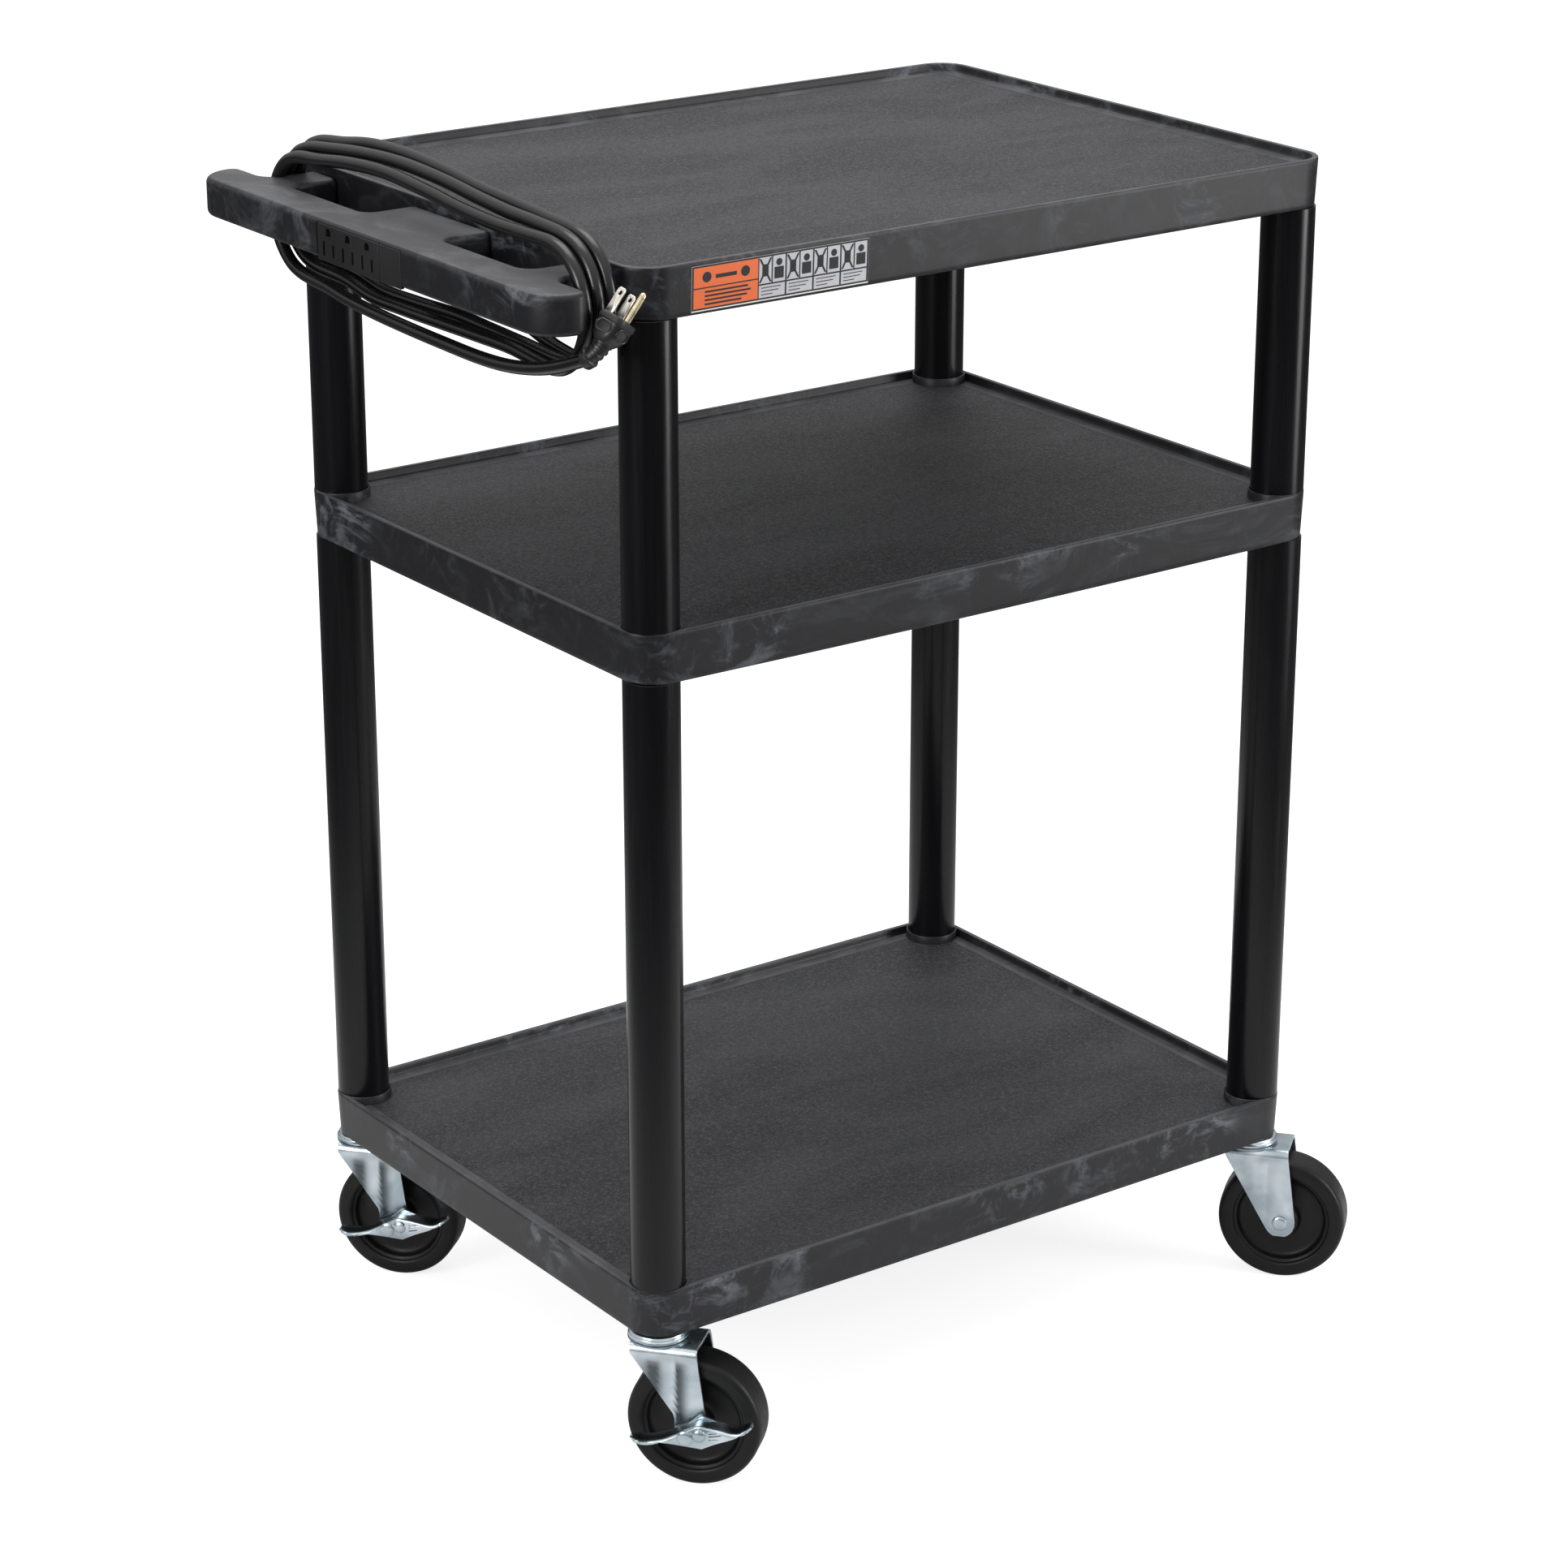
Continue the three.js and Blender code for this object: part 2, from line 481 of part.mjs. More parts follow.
function makeAxle(headFace) {
  const shank = solid(axialCylinder(AXLE_RADIUS, -headFace, forkOuter + 7, TRAIL, WHEEL_RADIUS, 12));
  return shank.add(solid(axialCylinder(7, -headFace - 3.5, -headFace, TRAIL, WHEEL_RADIUS, 12)));
}

function makeNut() {
  const nut = solid(axialCylinder(7.5, forkOuter + GAP, forkOuter + GAP + 5.5, TRAIL, WHEEL_RADIUS, 6));
  return nut.subtract(solid(axialCylinder(AXLE_RADIUS + 0.2, forkOuter - CUT, forkOuter + 10, TRAIL, WHEEL_RADIUS, 12)));
}

// The brake lever is a bow-tie stamping: a diamond face across the axle's end, a hub, and a foot pad at each end.
function makeBrakeLever() {
  const faceBack = BRAKE_REACH - FORK_PLATE;
  const inner = forkOuter + GAP;
  const middle = TRAIL + 4;
  const faceMiddle = middle + 7;
  const diamond = new THREE.Shape();
  diamond.moveTo(faceMiddle - 29, 0);
  diamond.lineTo(faceMiddle, -8.5);
  diamond.lineTo(faceMiddle + 29, 0);
  diamond.lineTo(faceMiddle, 9.5);
  const face = new THREE.ExtrudeGeometry(diamond, { depth: FORK_PLATE, bevelEnabled: false })
    .rotateX(Math.PI / 2).translate(0, -faceBack, WHEEL_RADIUS);
  const pads = new THREE.Shape();
  pads.absarc(middle + BRAKE_HALF_LENGTH - 8, -(inner + BRAKE_REACH) / 2, 8, -Math.PI / 2, Math.PI / 2);
  pads.lineTo(middle, -inner - 4);
  pads.absarc(middle - BRAKE_HALF_LENGTH + 8, -(inner + BRAKE_REACH) / 2, 8, Math.PI / 2, 1.5 * Math.PI);
  pads.lineTo(middle, -BRAKE_REACH);
  const strip = slab(pads, WHEEL_RADIUS - 1, WHEEL_RADIUS + 1, 4);
  const lever = solid(face)
    .add(solid(strip))
    .add(solid(axialCylinder(8, -BRAKE_REACH, -inner, TRAIL, WHEEL_RADIUS)))
    .subtract(solid(axialCylinder(AXLE_RADIUS + GAP, -BRAKE_REACH - CUT, -inner + CUT, TRAIL, WHEEL_RADIUS, 12)));
  const tilt = toGeometry(lever).translate(-TRAIL, 0, -WHEEL_RADIUS).rotateY(-BRAKE_TILT);
  return tilt.translate(TRAIL, 0, WHEEL_RADIUS);
}

for (const { name, x, y, braked } of CORNERS) {
  const caster = new THREE.Group();
  caster.position.set(x, y, 0);
  caster.rotation.z = CASTER_ANGLE;
  cart.add(caster);
  const stem = new THREE.LatheGeometry(STEM_OUTLINE.map(([r, z]) => new THREE.Vector2(r, z)), 12);
  addPiece(`caster_stem_${name}`, stem.rotateX(Math.PI / 2), ZINC, caster);
  addPiece(`swivel_cup_${name}`, turned(CUP_OUTLINE, 20), ZINC, caster);
  addPiece(`swivel_balls_${name}`, turned(BALL_RING_OUTLINE, 16), BUSHING_STEEL, caster);
  addPiece(`caster_fork_${name}`, makeFork(), ZINC, caster);
  addPiece(`caster_wheel_${name}`, onAxle(turned(WHEEL_OUTLINE, 24)), WHEEL_PLASTIC, caster);
  addPiece(`wheel_bushing_${name}`, onAxle(turned(BUSHING_OUTLINE, 12)), BUSHING_STEEL, caster);
  addPiece(`axle_bolt_${name}`, makeAxle((braked ? BRAKE_REACH : forkOuter) + GAP), ZINC, caster);
  addPiece(`axle_nut_${name}`, makeNut(), ZINC, caster);
  if (braked) {
    addPiece(`brake_lever_${name}`, makeBrakeLever(), ZINC, caster);
  }
}

export default cart;
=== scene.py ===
"""Looks for the rolling utility cart: shelves, tube legs, handle with outlets, wound cord and swivel casters.

Lengths are millimetres, measured from the middle of the shelves with the floor at zero as in the CAD source,
and become row-frame metres when a piece is made. Materials, camera distance and lights are in metres.
"""
import math

import bmesh
import bpy
from itertools import accumulate
from mathutils import Matrix, Vector


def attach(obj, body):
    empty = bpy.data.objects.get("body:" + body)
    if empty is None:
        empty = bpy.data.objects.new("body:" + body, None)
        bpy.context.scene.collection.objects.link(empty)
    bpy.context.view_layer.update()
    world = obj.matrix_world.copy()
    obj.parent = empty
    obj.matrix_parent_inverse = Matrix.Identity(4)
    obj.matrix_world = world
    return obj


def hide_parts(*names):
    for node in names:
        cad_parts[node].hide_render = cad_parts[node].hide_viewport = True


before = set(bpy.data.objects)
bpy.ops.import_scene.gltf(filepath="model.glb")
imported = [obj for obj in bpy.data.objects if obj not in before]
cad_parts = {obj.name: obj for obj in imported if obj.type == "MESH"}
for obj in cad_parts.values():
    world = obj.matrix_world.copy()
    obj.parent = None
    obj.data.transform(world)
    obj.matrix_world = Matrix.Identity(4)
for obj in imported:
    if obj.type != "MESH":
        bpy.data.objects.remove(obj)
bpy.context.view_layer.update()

# ---------------- sizes
SHIFT = (18.0, 30.0, 0.0)  # the middle of the shelves in the row frame
SHELF_LENGTH, SHELF_DEPTH, SHELF_HEIGHT = 609.6, 457.2, 36.0
CORNER = 26.0  # radius of the shelf's corners
DECK_TOP, DECK_UNDER = 29.5, 24.5  # above the lower edge of the skirt
PEBBLE_INSET = 16.0  # from the shelf's edge to the pebbled part of the deck
DRAFT = 1.5  # how much the skirt leans in from bottom to top
LEG_INSET = 22.0  # from the shelf's edge to the axis of a leg
LEG_X, LEG_Y = SHELF_LENGTH / 2 - LEG_INSET, SHELF_DEPTH / 2 - LEG_INSET
LEVELS = {"bottom_shelf": 118.0, "middle_shelf": 611.0, "top_shelf": 863.0}
BAR_OUTER, BAR_INNER, BAR_TOP, BAR_BOTTOM = 380.5, 344.0, 892.5, 864.0
OUTLET_Z = 878.25
RECEPTACLES = (-11.5, 14.4, 40.3)
BLADE_OFFSET = 6.35  # from the middle of a plug or receptacle to each blade or slot
GROUND_OFFSET = 11.9  # from the line of the blades to the ground pin
CASTER_TURN = math.radians(-50)
TRAIL, WHEEL_R, FORK_OUTER = 29.0, 50.0, 20.5
BRAKE_REACH, BRAKE_TILT = 37.0, math.radians(12.5)
PLATE_TOP = 111.5  # top of the fork
CORD_R = 4.75
CORNERS = {
    "front_left": (-LEG_X, -LEG_Y),
    "front_right": (LEG_X, -LEG_Y),
    "back_left": (-LEG_X, LEG_Y),
    "back_right": (LEG_X, LEG_Y),
}
BRAKED = ("front_left", "back_left")
ROOT = "cart_frame"
TO_ROW = Matrix.Scale(0.001, 4) @ Matrix.Translation(SHIFT)


def row(x, y, z):
    return TO_ROW @ Vector((x, y, z))


def add_object(name, data):
    obj = bpy.data.objects.new(name, data)
    bpy.context.scene.collection.objects.link(obj)
    return obj


def aim(obj, place, direction):
    """Put a camera or a light somewhere and let it look in a direction."""
    obj.location = place
    obj.rotation_mode = "QUATERNION"
    obj.rotation_quaternion = direction.to_track_quat("-Z", "Y")


# ---------------- camera
CAMERA_TARGET = (-22.8, 0, 414.7)
CAMERA_AZIMUTH, CAMERA_ELEVATION = math.radians(-35.78), math.radians(20.34)
CAMERA_DISTANCE = 3.2747
SENSOR_WIDTH, LENS = 36, 98.3012


def make_camera():
    flat, rise = math.cos(CAMERA_ELEVATION), math.sin(CAMERA_ELEVATION)
    back = Vector((math.sin(CAMERA_AZIMUTH) * flat, -math.cos(CAMERA_AZIMUTH) * flat, rise))
    data = bpy.data.cameras.new("camera")
    data.sensor_width = SENSOR_WIDTH
    data.lens = LENS
    data.clip_end = 50
    camera = add_object("camera", data)
    aim(camera, row(*CAMERA_TARGET) + back * CAMERA_DISTANCE, -back)
    bpy.context.scene.camera = camera


make_camera()


# ---------------- material helpers
def set_range(node, low, high, out_low, out_high):
    for socket, number in zip(("From Min", "From Max", "To Min", "To Max"), (low, high, out_low, out_high)):
        node.inputs[socket].default_value = number


class Nodes:
    """A small wrapper that keeps the node set-ups below readable."""

    def __init__(self, name):
        self.material = bpy.data.materials.new(name)
        self.material.use_nodes = True
        self.tree = self.material.node_tree
        self.shader = self.tree.nodes["Principled BSDF"]
        self.position = self.add("ShaderNodeNewGeometry").outputs["Position"]

    def add(self, kind, **values):
        node = self.tree.nodes.new(kind)
        for key, value in values.items():
            setattr(node, key, value)
        return node

    def link(self, source, target):
        if isinstance(source, (int, float, tuple)):
            target.default_value = source
        else:
            self.tree.links.new(source, target)

    def math(self, operation, a, b=0.0, clamp=False):
        node = self.add("ShaderNodeMath", operation=operation, use_clamp=clamp)
        self.link(a, node.inputs[0])
        self.link(b, node.inputs[1])
        return node.outputs[0]

    def object_position(self):
        return self.add("ShaderNodeTexCoord").outputs["Object"]

    def stretch(self, vector, scale, rotation=(0, 0, 0)):
        node = self.add("ShaderNodeMapping")
        self.link(vector, node.inputs["Vector"])
        node.inputs["Scale"].default_value = scale
        node.inputs["Rotation"].default_value = rotation
        return node.outputs[0]

    def noise(self, vector, scale, detail=3.0, roughness=0.5, distortion=0.0):
        node = self.add("ShaderNodeTexNoise")
        self.link(vector, node.inputs["Vector"])
        node.inputs["Scale"].default_value = scale
        node.inputs["Detail"].default_value = detail
        node.inputs["Roughness"].default_value = roughness
        node.inputs["Distortion"].default_value = distortion
        return node.outputs[0]

    def remap(self, value, low, high, out_low=0.0, out_high=1.0):
        node = self.add("ShaderNodeMapRange", interpolation_type="SMOOTHSTEP")
        self.link(value, node.inputs["Value"])
        set_range(node, low, high, out_low, out_high)
        return node.outputs[0]

    def mix(self, factor, a, b, kind="RGBA", first=6, result=2):
        node = self.add("ShaderNodeMix", data_type=kind)
        for socket, source in zip((0, first, first + 1), (factor, a, b)):
            self.link(source, node.inputs[socket])
        return node.outputs[result]

    def mix_value(self, factor, a, b):
        return self.mix(factor, a, b, "FLOAT", 2, 0)

    def axes(self, vector):
        node = self.add("ShaderNodeSeparateXYZ")
        self.link(vector, node.inputs[0])
        return node.outputs[0], node.outputs[1], node.outputs[2]

    def bump(self, height, distance, strength=1.0, normal=None):
        node = self.add("ShaderNodeBump")
        self.link(height, node.inputs["Height"])
        node.inputs["Distance"].default_value = distance
        node.inputs["Strength"].default_value = strength
        if normal is not None:
            self.link(normal, node.inputs["Normal"])
        return node.outputs[0]

    def finish(self, color, roughness, metallic=0.0, normal=None, specular=0.5):
        self.link(color, self.shader.inputs["Base Color"])
        self.link(roughness, self.shader.inputs["Roughness"])
        self.shader.inputs["Metallic"].default_value = metallic
        self.link(specular, self.shader.inputs["Specular IOR Level"])
        if normal is not None:
            self.link(normal, self.shader.inputs["Normal"])
        return self.material


def gray(value, blue=1.0):
    return (value, value, value * blue, 1.0)


def foam_plastic():
    """Foam-moulded plastic: cloudy on the skirts, pebbled on the decks, smooth on the rims and handle top,
    whose upward faces carry a painted highlight tone.
    """
    n = Nodes("foam_plastic")
    p = n.position
    x, y, z = n.axes(p)
    normal_z = n.axes(n.add("ShaderNodeNewGeometry").outputs["Normal"])[2]
    flat = n.remap(normal_z, 0.8, 0.95)
    from_edge = []
    for place, middle, size in ((x, SHIFT[0], SHELF_LENGTH), (y, SHIFT[1], SHELF_DEPTH)):
        away = n.math("ABSOLUTE", n.math("SUBTRACT", place, middle / 1000))
        from_edge.append(n.math("SUBTRACT", (size / 2 - PEBBLE_INSET) / 1000, away))
    inside = n.math("MINIMUM", *from_edge)
    deck = n.math("MULTIPLY", n.remap(inside, -0.0006, 0.0006), flat)
    # clouds of lighter foam skin, strongest along the top edge of each skirt
    near_rim = 0.0
    for level in LEVELS.values():
        off_rim = n.math("ABSOLUTE", n.math("SUBTRACT", z, (level + SHELF_HEIGHT) / 1000))
        near_rim = n.math("ADD", near_rim, n.remap(off_rim, 0.024, 0.002))
    patch = n.remap(n.noise(p, 6.5, 2.0, 0.5, 0.8), 0.46, 0.66)
    flow = n.noise(n.stretch(p, (1.0, 1.0, 1.7), (0.35, 0.5, 0.3)), 13.0, 6.0, 0.66, 1.8)
    veins = n.noise(n.stretch(p, (1.2, 1.2, 1.0), (0.9, 0.4, 0.2)), 42.0, 6.0, 0.68, 1.6)
    fine = n.noise(p, 420.0, 4.0, 0.7)
    cloud = n.math("MULTIPLY", n.remap(flow, 0.49, 0.66), n.mix_value(patch, 0.12, 1.0))
    wisps = n.math("MULTIPLY", n.remap(veins, 0.5, 0.7), n.mix_value(patch, 0.06, 0.6))
    rim_share = n.mix_value(near_rim, 0.55, 1.15)
    swirl = n.math("MULTIPLY", n.math("ADD", cloud, wisps), rim_share, True)
    skin = n.mix(swirl, (0.0078, 0.0080, 0.0096, 1), (0.125, 0.129, 0.148, 1))
    skin = n.mix(n.remap(fine, 0.35, 0.75, 0.0, 0.3), skin, (0.013, 0.013, 0.015, 1))
    # decks: pebbled, with wide faint diagonal tone changes that are a painted sheen
    broad = n.noise(n.stretch(p, (1.0, 2.6, 1.0), (0, 0, 0.6)), 5.5, 3.0, 0.5, 0.8)
    deck_tone = n.mix(n.remap(broad, 0.32, 0.7), (0.0145, 0.0146, 0.0162, 1), (0.033, 0.0332, 0.0368, 1))
    pebble = n.noise(p, 560.0, 2.0, 0.55, 0.4)
    grain = n.noise(p, 1500.0, 2.0, 0.5)
    coarse = n.noise(p, 230.0, 3.0, 0.6)
    deck_tone = n.mix(n.remap(coarse, 0.5, 0.68, 0.0, 0.45), deck_tone, (0.058, 0.058, 0.065, 1))
    deck_tone = n.mix(n.remap(coarse, 0.48, 0.34, 0.0, 0.5), deck_tone, (0.010, 0.010, 0.011, 1))
    deck_tone = n.mix(n.remap(pebble, 0.48, 0.7, 0.0, 0.7), deck_tone, (0.066, 0.066, 0.074, 1))
    # painted highlight: upward faces of rims, lips and handle get a much lighter tone than the same smooth
    # skin on the sides; the mottling in it is the skin's own
    lit_smooth_top = n.mix(n.remap(fine, 0.4, 0.7), (0.078, 0.078, 0.084, 1), (0.112, 0.112, 0.12, 1))
    lit_smooth_top = n.mix(n.remap(flow, 0.4, 0.66), (0.052, 0.052, 0.056, 1), lit_smooth_top)
    top_tone = n.mix(deck, lit_smooth_top, deck_tone)
    color = n.mix(flat, skin, top_tone)
    rough_skin = n.mix_value(swirl, 0.42, 0.56)
    rough = n.mix_value(deck, rough_skin, n.mix_value(n.remap(pebble, 0.4, 0.7), 0.62, 0.48))
    height = n.math("MULTIPLY", n.math("ADD", pebble, n.math("MULTIPLY", grain, 0.3)), deck)
    normal = n.bump(height, 0.0006, 0.9)
    ripple = n.math("ADD", n.math("MULTIPLY", flow, 0.8), n.math("MULTIPLY", fine, 0.12))
    normal = n.bump(ripple, 0.0012, 0.22, normal)
    return n.finish(color, rough, 0.0, normal, 0.34)


def leg_plastic():
    """Smooth extruded tube: nearly black, satin, with faint lines along its length."""
    n = Nodes("leg_plastic")
    p = n.position
    streak = n.noise(n.stretch(p, (1.0, 1.0, 0.035)), 240.0, 3.0, 0.6)
    cloud = n.noise(n.stretch(p, (1.0, 1.0, 0.3)), 14.0, 3.0, 0.5)
    color = n.mix(n.remap(cloud, 0.35, 0.7), (0.0020, 0.0021, 0.0028, 1), (0.0040, 0.0042, 0.0052, 1))
    rough = n.mix_value(n.remap(streak, 0.35, 0.7), 0.22, 0.3)
    normal = n.bump(streak, 0.00012, 0.35)
    return n.finish(color, rough, 0.0, normal, 0.28)


def plain_black(name, tone, rough, scale=300.0, depth=0.00008, specular=0.5):
    """Black plastic or rubber with a fine grain of its own scale and depth."""
    n = Nodes(name)
    p = n.object_position()
    grain = n.noise(p, scale, 4.0, 0.6)
    broad = n.noise(p, 20.0, 3.0, 0.5)
    color = n.mix(n.remap(broad, 0.35, 0.7), gray(tone, 1.08), gray(tone * 1.6, 1.1))
    roughness = n.mix_value(n.remap(grain, 0.3, 0.7), rough, rough + 0.1)
    return n.finish(color, roughness, 0.0, n.bump(grain, depth, 0.5), specular)


def metal(name, base, dark, rough, spangle=60.0):
    """Plated metal. Pressed pieces carry a per-point value of painted shade, one where dark reflections and
    shade along the bends of the sheet and on the brake pads are painted into the colour.
    """
    n = Nodes(name)
    p = n.object_position()
    broad = n.noise(p, spangle, 2.0, 0.5, 0.3)
    line = n.noise(n.stretch(p, (1.0, 1.0, 12.0)), 260.0, 3.0, 0.6)
    color = n.mix(n.remap(broad, 0.3, 0.75), dark, base)
    # painted shade: where a pressed piece's value is high, the colour goes to a near-black copy of the dark
    # tone
    painted_shade = n.add("ShaderNodeAttribute", attribute_name="painted_shade").outputs["Fac"]
    shade = tuple(c * 0.12 for c in dark[:3]) + (1.0,)
    color = n.mix(n.math("MULTIPLY", painted_shade, n.mix_value(broad, 0.8, 1.0)), color, shade)
    roughness = n.mix_value(n.remap(broad, 0.3, 0.7), rough, rough + 0.08)
    roughness = n.math("ADD", roughness, n.remap(line, 0.5, 0.8, 0.0, 0.08))
    height = n.math("ADD", broad, n.math("MULTIPLY", line, 0.2))
    return n.finish(color, roughness, 1.0, n.bump(height, 0.0002, 0.15))


def print_ink(name, color, rough=0.38):
    """Printed film, a little worn in specks."""
    n = Nodes(name)
    p = n.object_position()
    speck = n.noise(p, 900.0, 3.0, 0.6)
    worn = tuple(c * 0.86 for c in color[:3]) + (1.0,)
    tone = n.mix(n.remap(speck, 0.45, 0.75, 0.0, 0.6), color, worn)
    return n.finish(tone, rough, 0.0, n.bump(speck, 0.00004, 0.3))


FOAM = foam_plastic()
LEG = leg_plastic()
OUTLET = plain_black("outlet_plastic", 0.0085, 0.42, 700.0, 0.00006, 0.35)
SLOT = plain_black("slot_dark", 0.003, 0.6)
CORD = plain_black("cord_jacket", 0.0038, 0.2, 900.0, 0.000008, 0.5)
PLUG = plain_black("plug_plastic", 0.0085, 0.36, 500.0, 0.00006)
TYRE = plain_black("wheel_plastic", 0.0022, 0.38, 260.0, 0.0001, 0.26)
ZINC = metal("caster_zinc", (0.68, 0.74, 0.78, 1), (0.36, 0.43, 0.47, 1), 0.24, 38.0)
STEEL = metal("bearing_steel", (0.50, 0.51, 0.53, 1), (0.34, 0.35, 0.37, 1), 0.32)
NICKEL = metal("blade_nickel", (0.83, 0.79, 0.72, 1), (0.62, 0.58, 0.51, 1), 0.2, 140.0)
BRASS = metal("contact_brass", (0.78, 0.62, 0.34, 1), (0.6, 0.45, 0.22, 1), 0.25, 140.0)
PIN = metal("pin_brass", (0.86, 0.75, 0.52, 1), (0.68, 0.56, 0.36, 1), 0.2, 140.0)
INK_WHITE = print_ink("label_white", (0.78, 0.76, 0.72, 1))
INK_ORANGE = print_ink("label_orange", (0.80, 0.135, 0.016, 1))
INK_BLACK = print_ink("label_black", (0.006, 0.006, 0.008, 1), 0.6)
INK_PANEL = print_ink("label_panel", (0.52, 0.52, 0.56, 1))


# ---------------- mesh helpers
def mark_smooth(mesh, angle):
    """Turn the faces outward and shade them smooth, except at edges that bend more than the angle."""
    bm = bmesh.new()
    bm.from_mesh(mesh)
    bmesh.ops.recalc_face_normals(bm, faces=bm.faces)
    limit = math.radians(angle)
    for face in bm.faces:
        face.smooth = True
    for edge in bm.edges:
        edge.smooth = len(edge.link_faces) != 2 or edge.calc_face_angle(0.0) < limit
    bm.to_mesh(mesh)
    bm.free()


class Shape:
    """A growing mesh in millimetres. Parts are added as loops of points, and build makes it one object."""

    def __init__(self):
        self.points = []
        self.faces = []

    def loops(self, loops, cap_start=True, cap_end=True, closed=True):
        base = len(self.points)
        size = len(loops[0])
        for loop in loops:
            self.points.extend(loop)
        for i in range(len(loops) - 1):
            for j in range(size if closed else size - 1):
                k = (j + 1) % size
                a, b = base + i * size, base + (i + 1) * size
                self.faces.append((a + j, a + k, b + k, b + j))
        if cap_start:
            self.faces.append(tuple(base + j for j in reversed(range(size))))
        if cap_end:
            last = base + (len(loops) - 1) * size
            self.faces.append(tuple(last + j for j in range(size)))

    def lathe(self, profile, sides, cap=True, matrix=None):
        loops = []
        for radius, height in profile:
            loop = []
            for a in ring_angles(sides):
                point = Vector((radius * math.cos(a), radius * math.sin(a), height))
                loop.append(tuple(matrix @ point) if matrix else tuple(point))
            loops.append(loop)
        self.loops(loops, cap, cap)

    def box(self, x0, x1, y0, y1, z0, z1):
        low = [(x0, y0, z0), (x1, y0, z0), (x1, y1, z0), (x0, y1, z0)]
        self.loops([low, [(x, y, z1) for x, y, _ in low]])


def build(name, shape, material, matrix=None, angle=35, painted_shade=None):
    """Make an object of a shape. A name that a CAD node already has gets "_form" after it."""
    name = f"{name}_form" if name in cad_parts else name
    mesh = bpy.data.meshes.new(name)
    mesh.from_pydata([tuple(p) for p in shape.points], [], shape.faces)
    # a per-point value of painted shade, read by the metal material
    if painted_shade:
        mesh.attributes.new("painted_shade", "FLOAT", "POINT").data.foreach_set("value", painted_shade)
    mesh.transform(TO_ROW @ matrix if matrix else TO_ROW)
    mark_smooth(mesh, angle)
    mesh.materials.append(material)
    return add_object(name, mesh)


def turned(name, material, frame_matrix, profile, sides, cap=True, matrix=None, angle=35):
    shape = Shape()
    shape.lathe(profile, sides, cap, matrix)
    return build(name, shape, material, frame_matrix, angle)


def bake(obj, angle):
    """Put the result of the object's modifiers into its mesh."""
    graph = bpy.context.evaluated_depsgraph_get()
    mesh = bpy.data.meshes.new_from_object(obj.evaluated_get(graph))
    obj.modifiers.clear()
    obj.data = mesh
    mark_smooth(mesh, angle)
    return obj


def soften(obj, width, segments=3, limit=40, angle=35):
    mod = obj.modifiers.new("edges", "BEVEL")
    mod.width = width / 1000
    mod.segments = segments
    mod.limit_method = "ANGLE"
    mod.angle_limit = math.radians(limit)
    mod.use_clamp_overlap = True
    return bake(obj, angle)


def cut(obj, cutter, angle=35):
    mod = obj.modifiers.new("cut", "BOOLEAN")
    mod.operation = "DIFFERENCE"
    mod.solver = "EXACT"
    mod.object = cutter
    bake(obj, angle)
    bpy.data.objects.remove(cutter)
    return obj


def thicken(obj, width):
    mod = obj.modifiers.new("thickness", "SOLIDIFY")
    mod.thickness = width / 1000
    mod.offset = 0.0
    bake(obj, 50)


def install(obj, body, slot, *nodes):
    """Let the object ride on a body, in the place of the CAD nodes. The slot argument is not used."""
    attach(obj, body)
    if nodes:
        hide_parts(*nodes)
    return obj


def arc(cx, cy, radius, start, end, steps):
    """Points of an arc between two angles in degrees."""
    angles = [math.radians(start + (end - start) * i / steps) for i in range(steps + 1)]
    return [(cx + radius * math.cos(a), cy + radius * math.sin(a)) for a in angles]


def ring_angles(count):
    return [2 * math.pi * i / count for i in range(count)]


def smooth_step(value, low, high):
    t = max(0.0, min(1.0, (value - low) / (high - low)))
    return t * t * (3 - 2 * t)


def bump_at(value, middle, width):
    return math.exp(-((value - middle) / width) ** 2)


def rounded_loop(half_x, half_y, radius, z, steps):
    """A rectangle with round corners, each of them steps + 1 points."""
    radius = max(radius, 0.05)
    loop = []
    for k, (sx, sy) in enumerate(((1, 1), (-1, 1), (-1, -1), (1, -1))):
        for i in range(steps + 1):
            a = math.pi / 2 * (k + i / steps)
            loop.append((sx * (half_x - radius) + radius * math.cos(a),
                         sy * (half_y - radius) + radius * math.sin(a), z))
    return loop


def blend(p, q, start, end, t):
    return p * ((end - t) / (end - start)) + q * ((t - start) / (end - start))


def catmull(points, spacing):
    """Points about a spacing apart along a smooth line through the given ones."""
    points = [Vector(p) for p in points]
    points = [2 * points[0] - points[1]] + points + [2 * points[-1] - points[-2]]
    line = []
    for a, b, c, d in zip(points, points[1:], points[2:], points[3:]):
        count = max(2, int((c - b).length / spacing))
        t1, t2, t3 = accumulate(max((q - p).length ** 0.5, 1e-6) for p, q in ((a, b), (b, c), (c, d)))
        for i in range(count):
            t = t1 + (t2 - t1) * i / count
            before, here, after = blend(a, b, 0, t1, t), blend(b, c, t1, t2, t), blend(c, d, t2, t3, t)
            line.append(blend(blend(before, here, 0, t2, t), blend(here, after, t1, t3, t), t1, t2, t))
    line.append(points[-2])
    return line


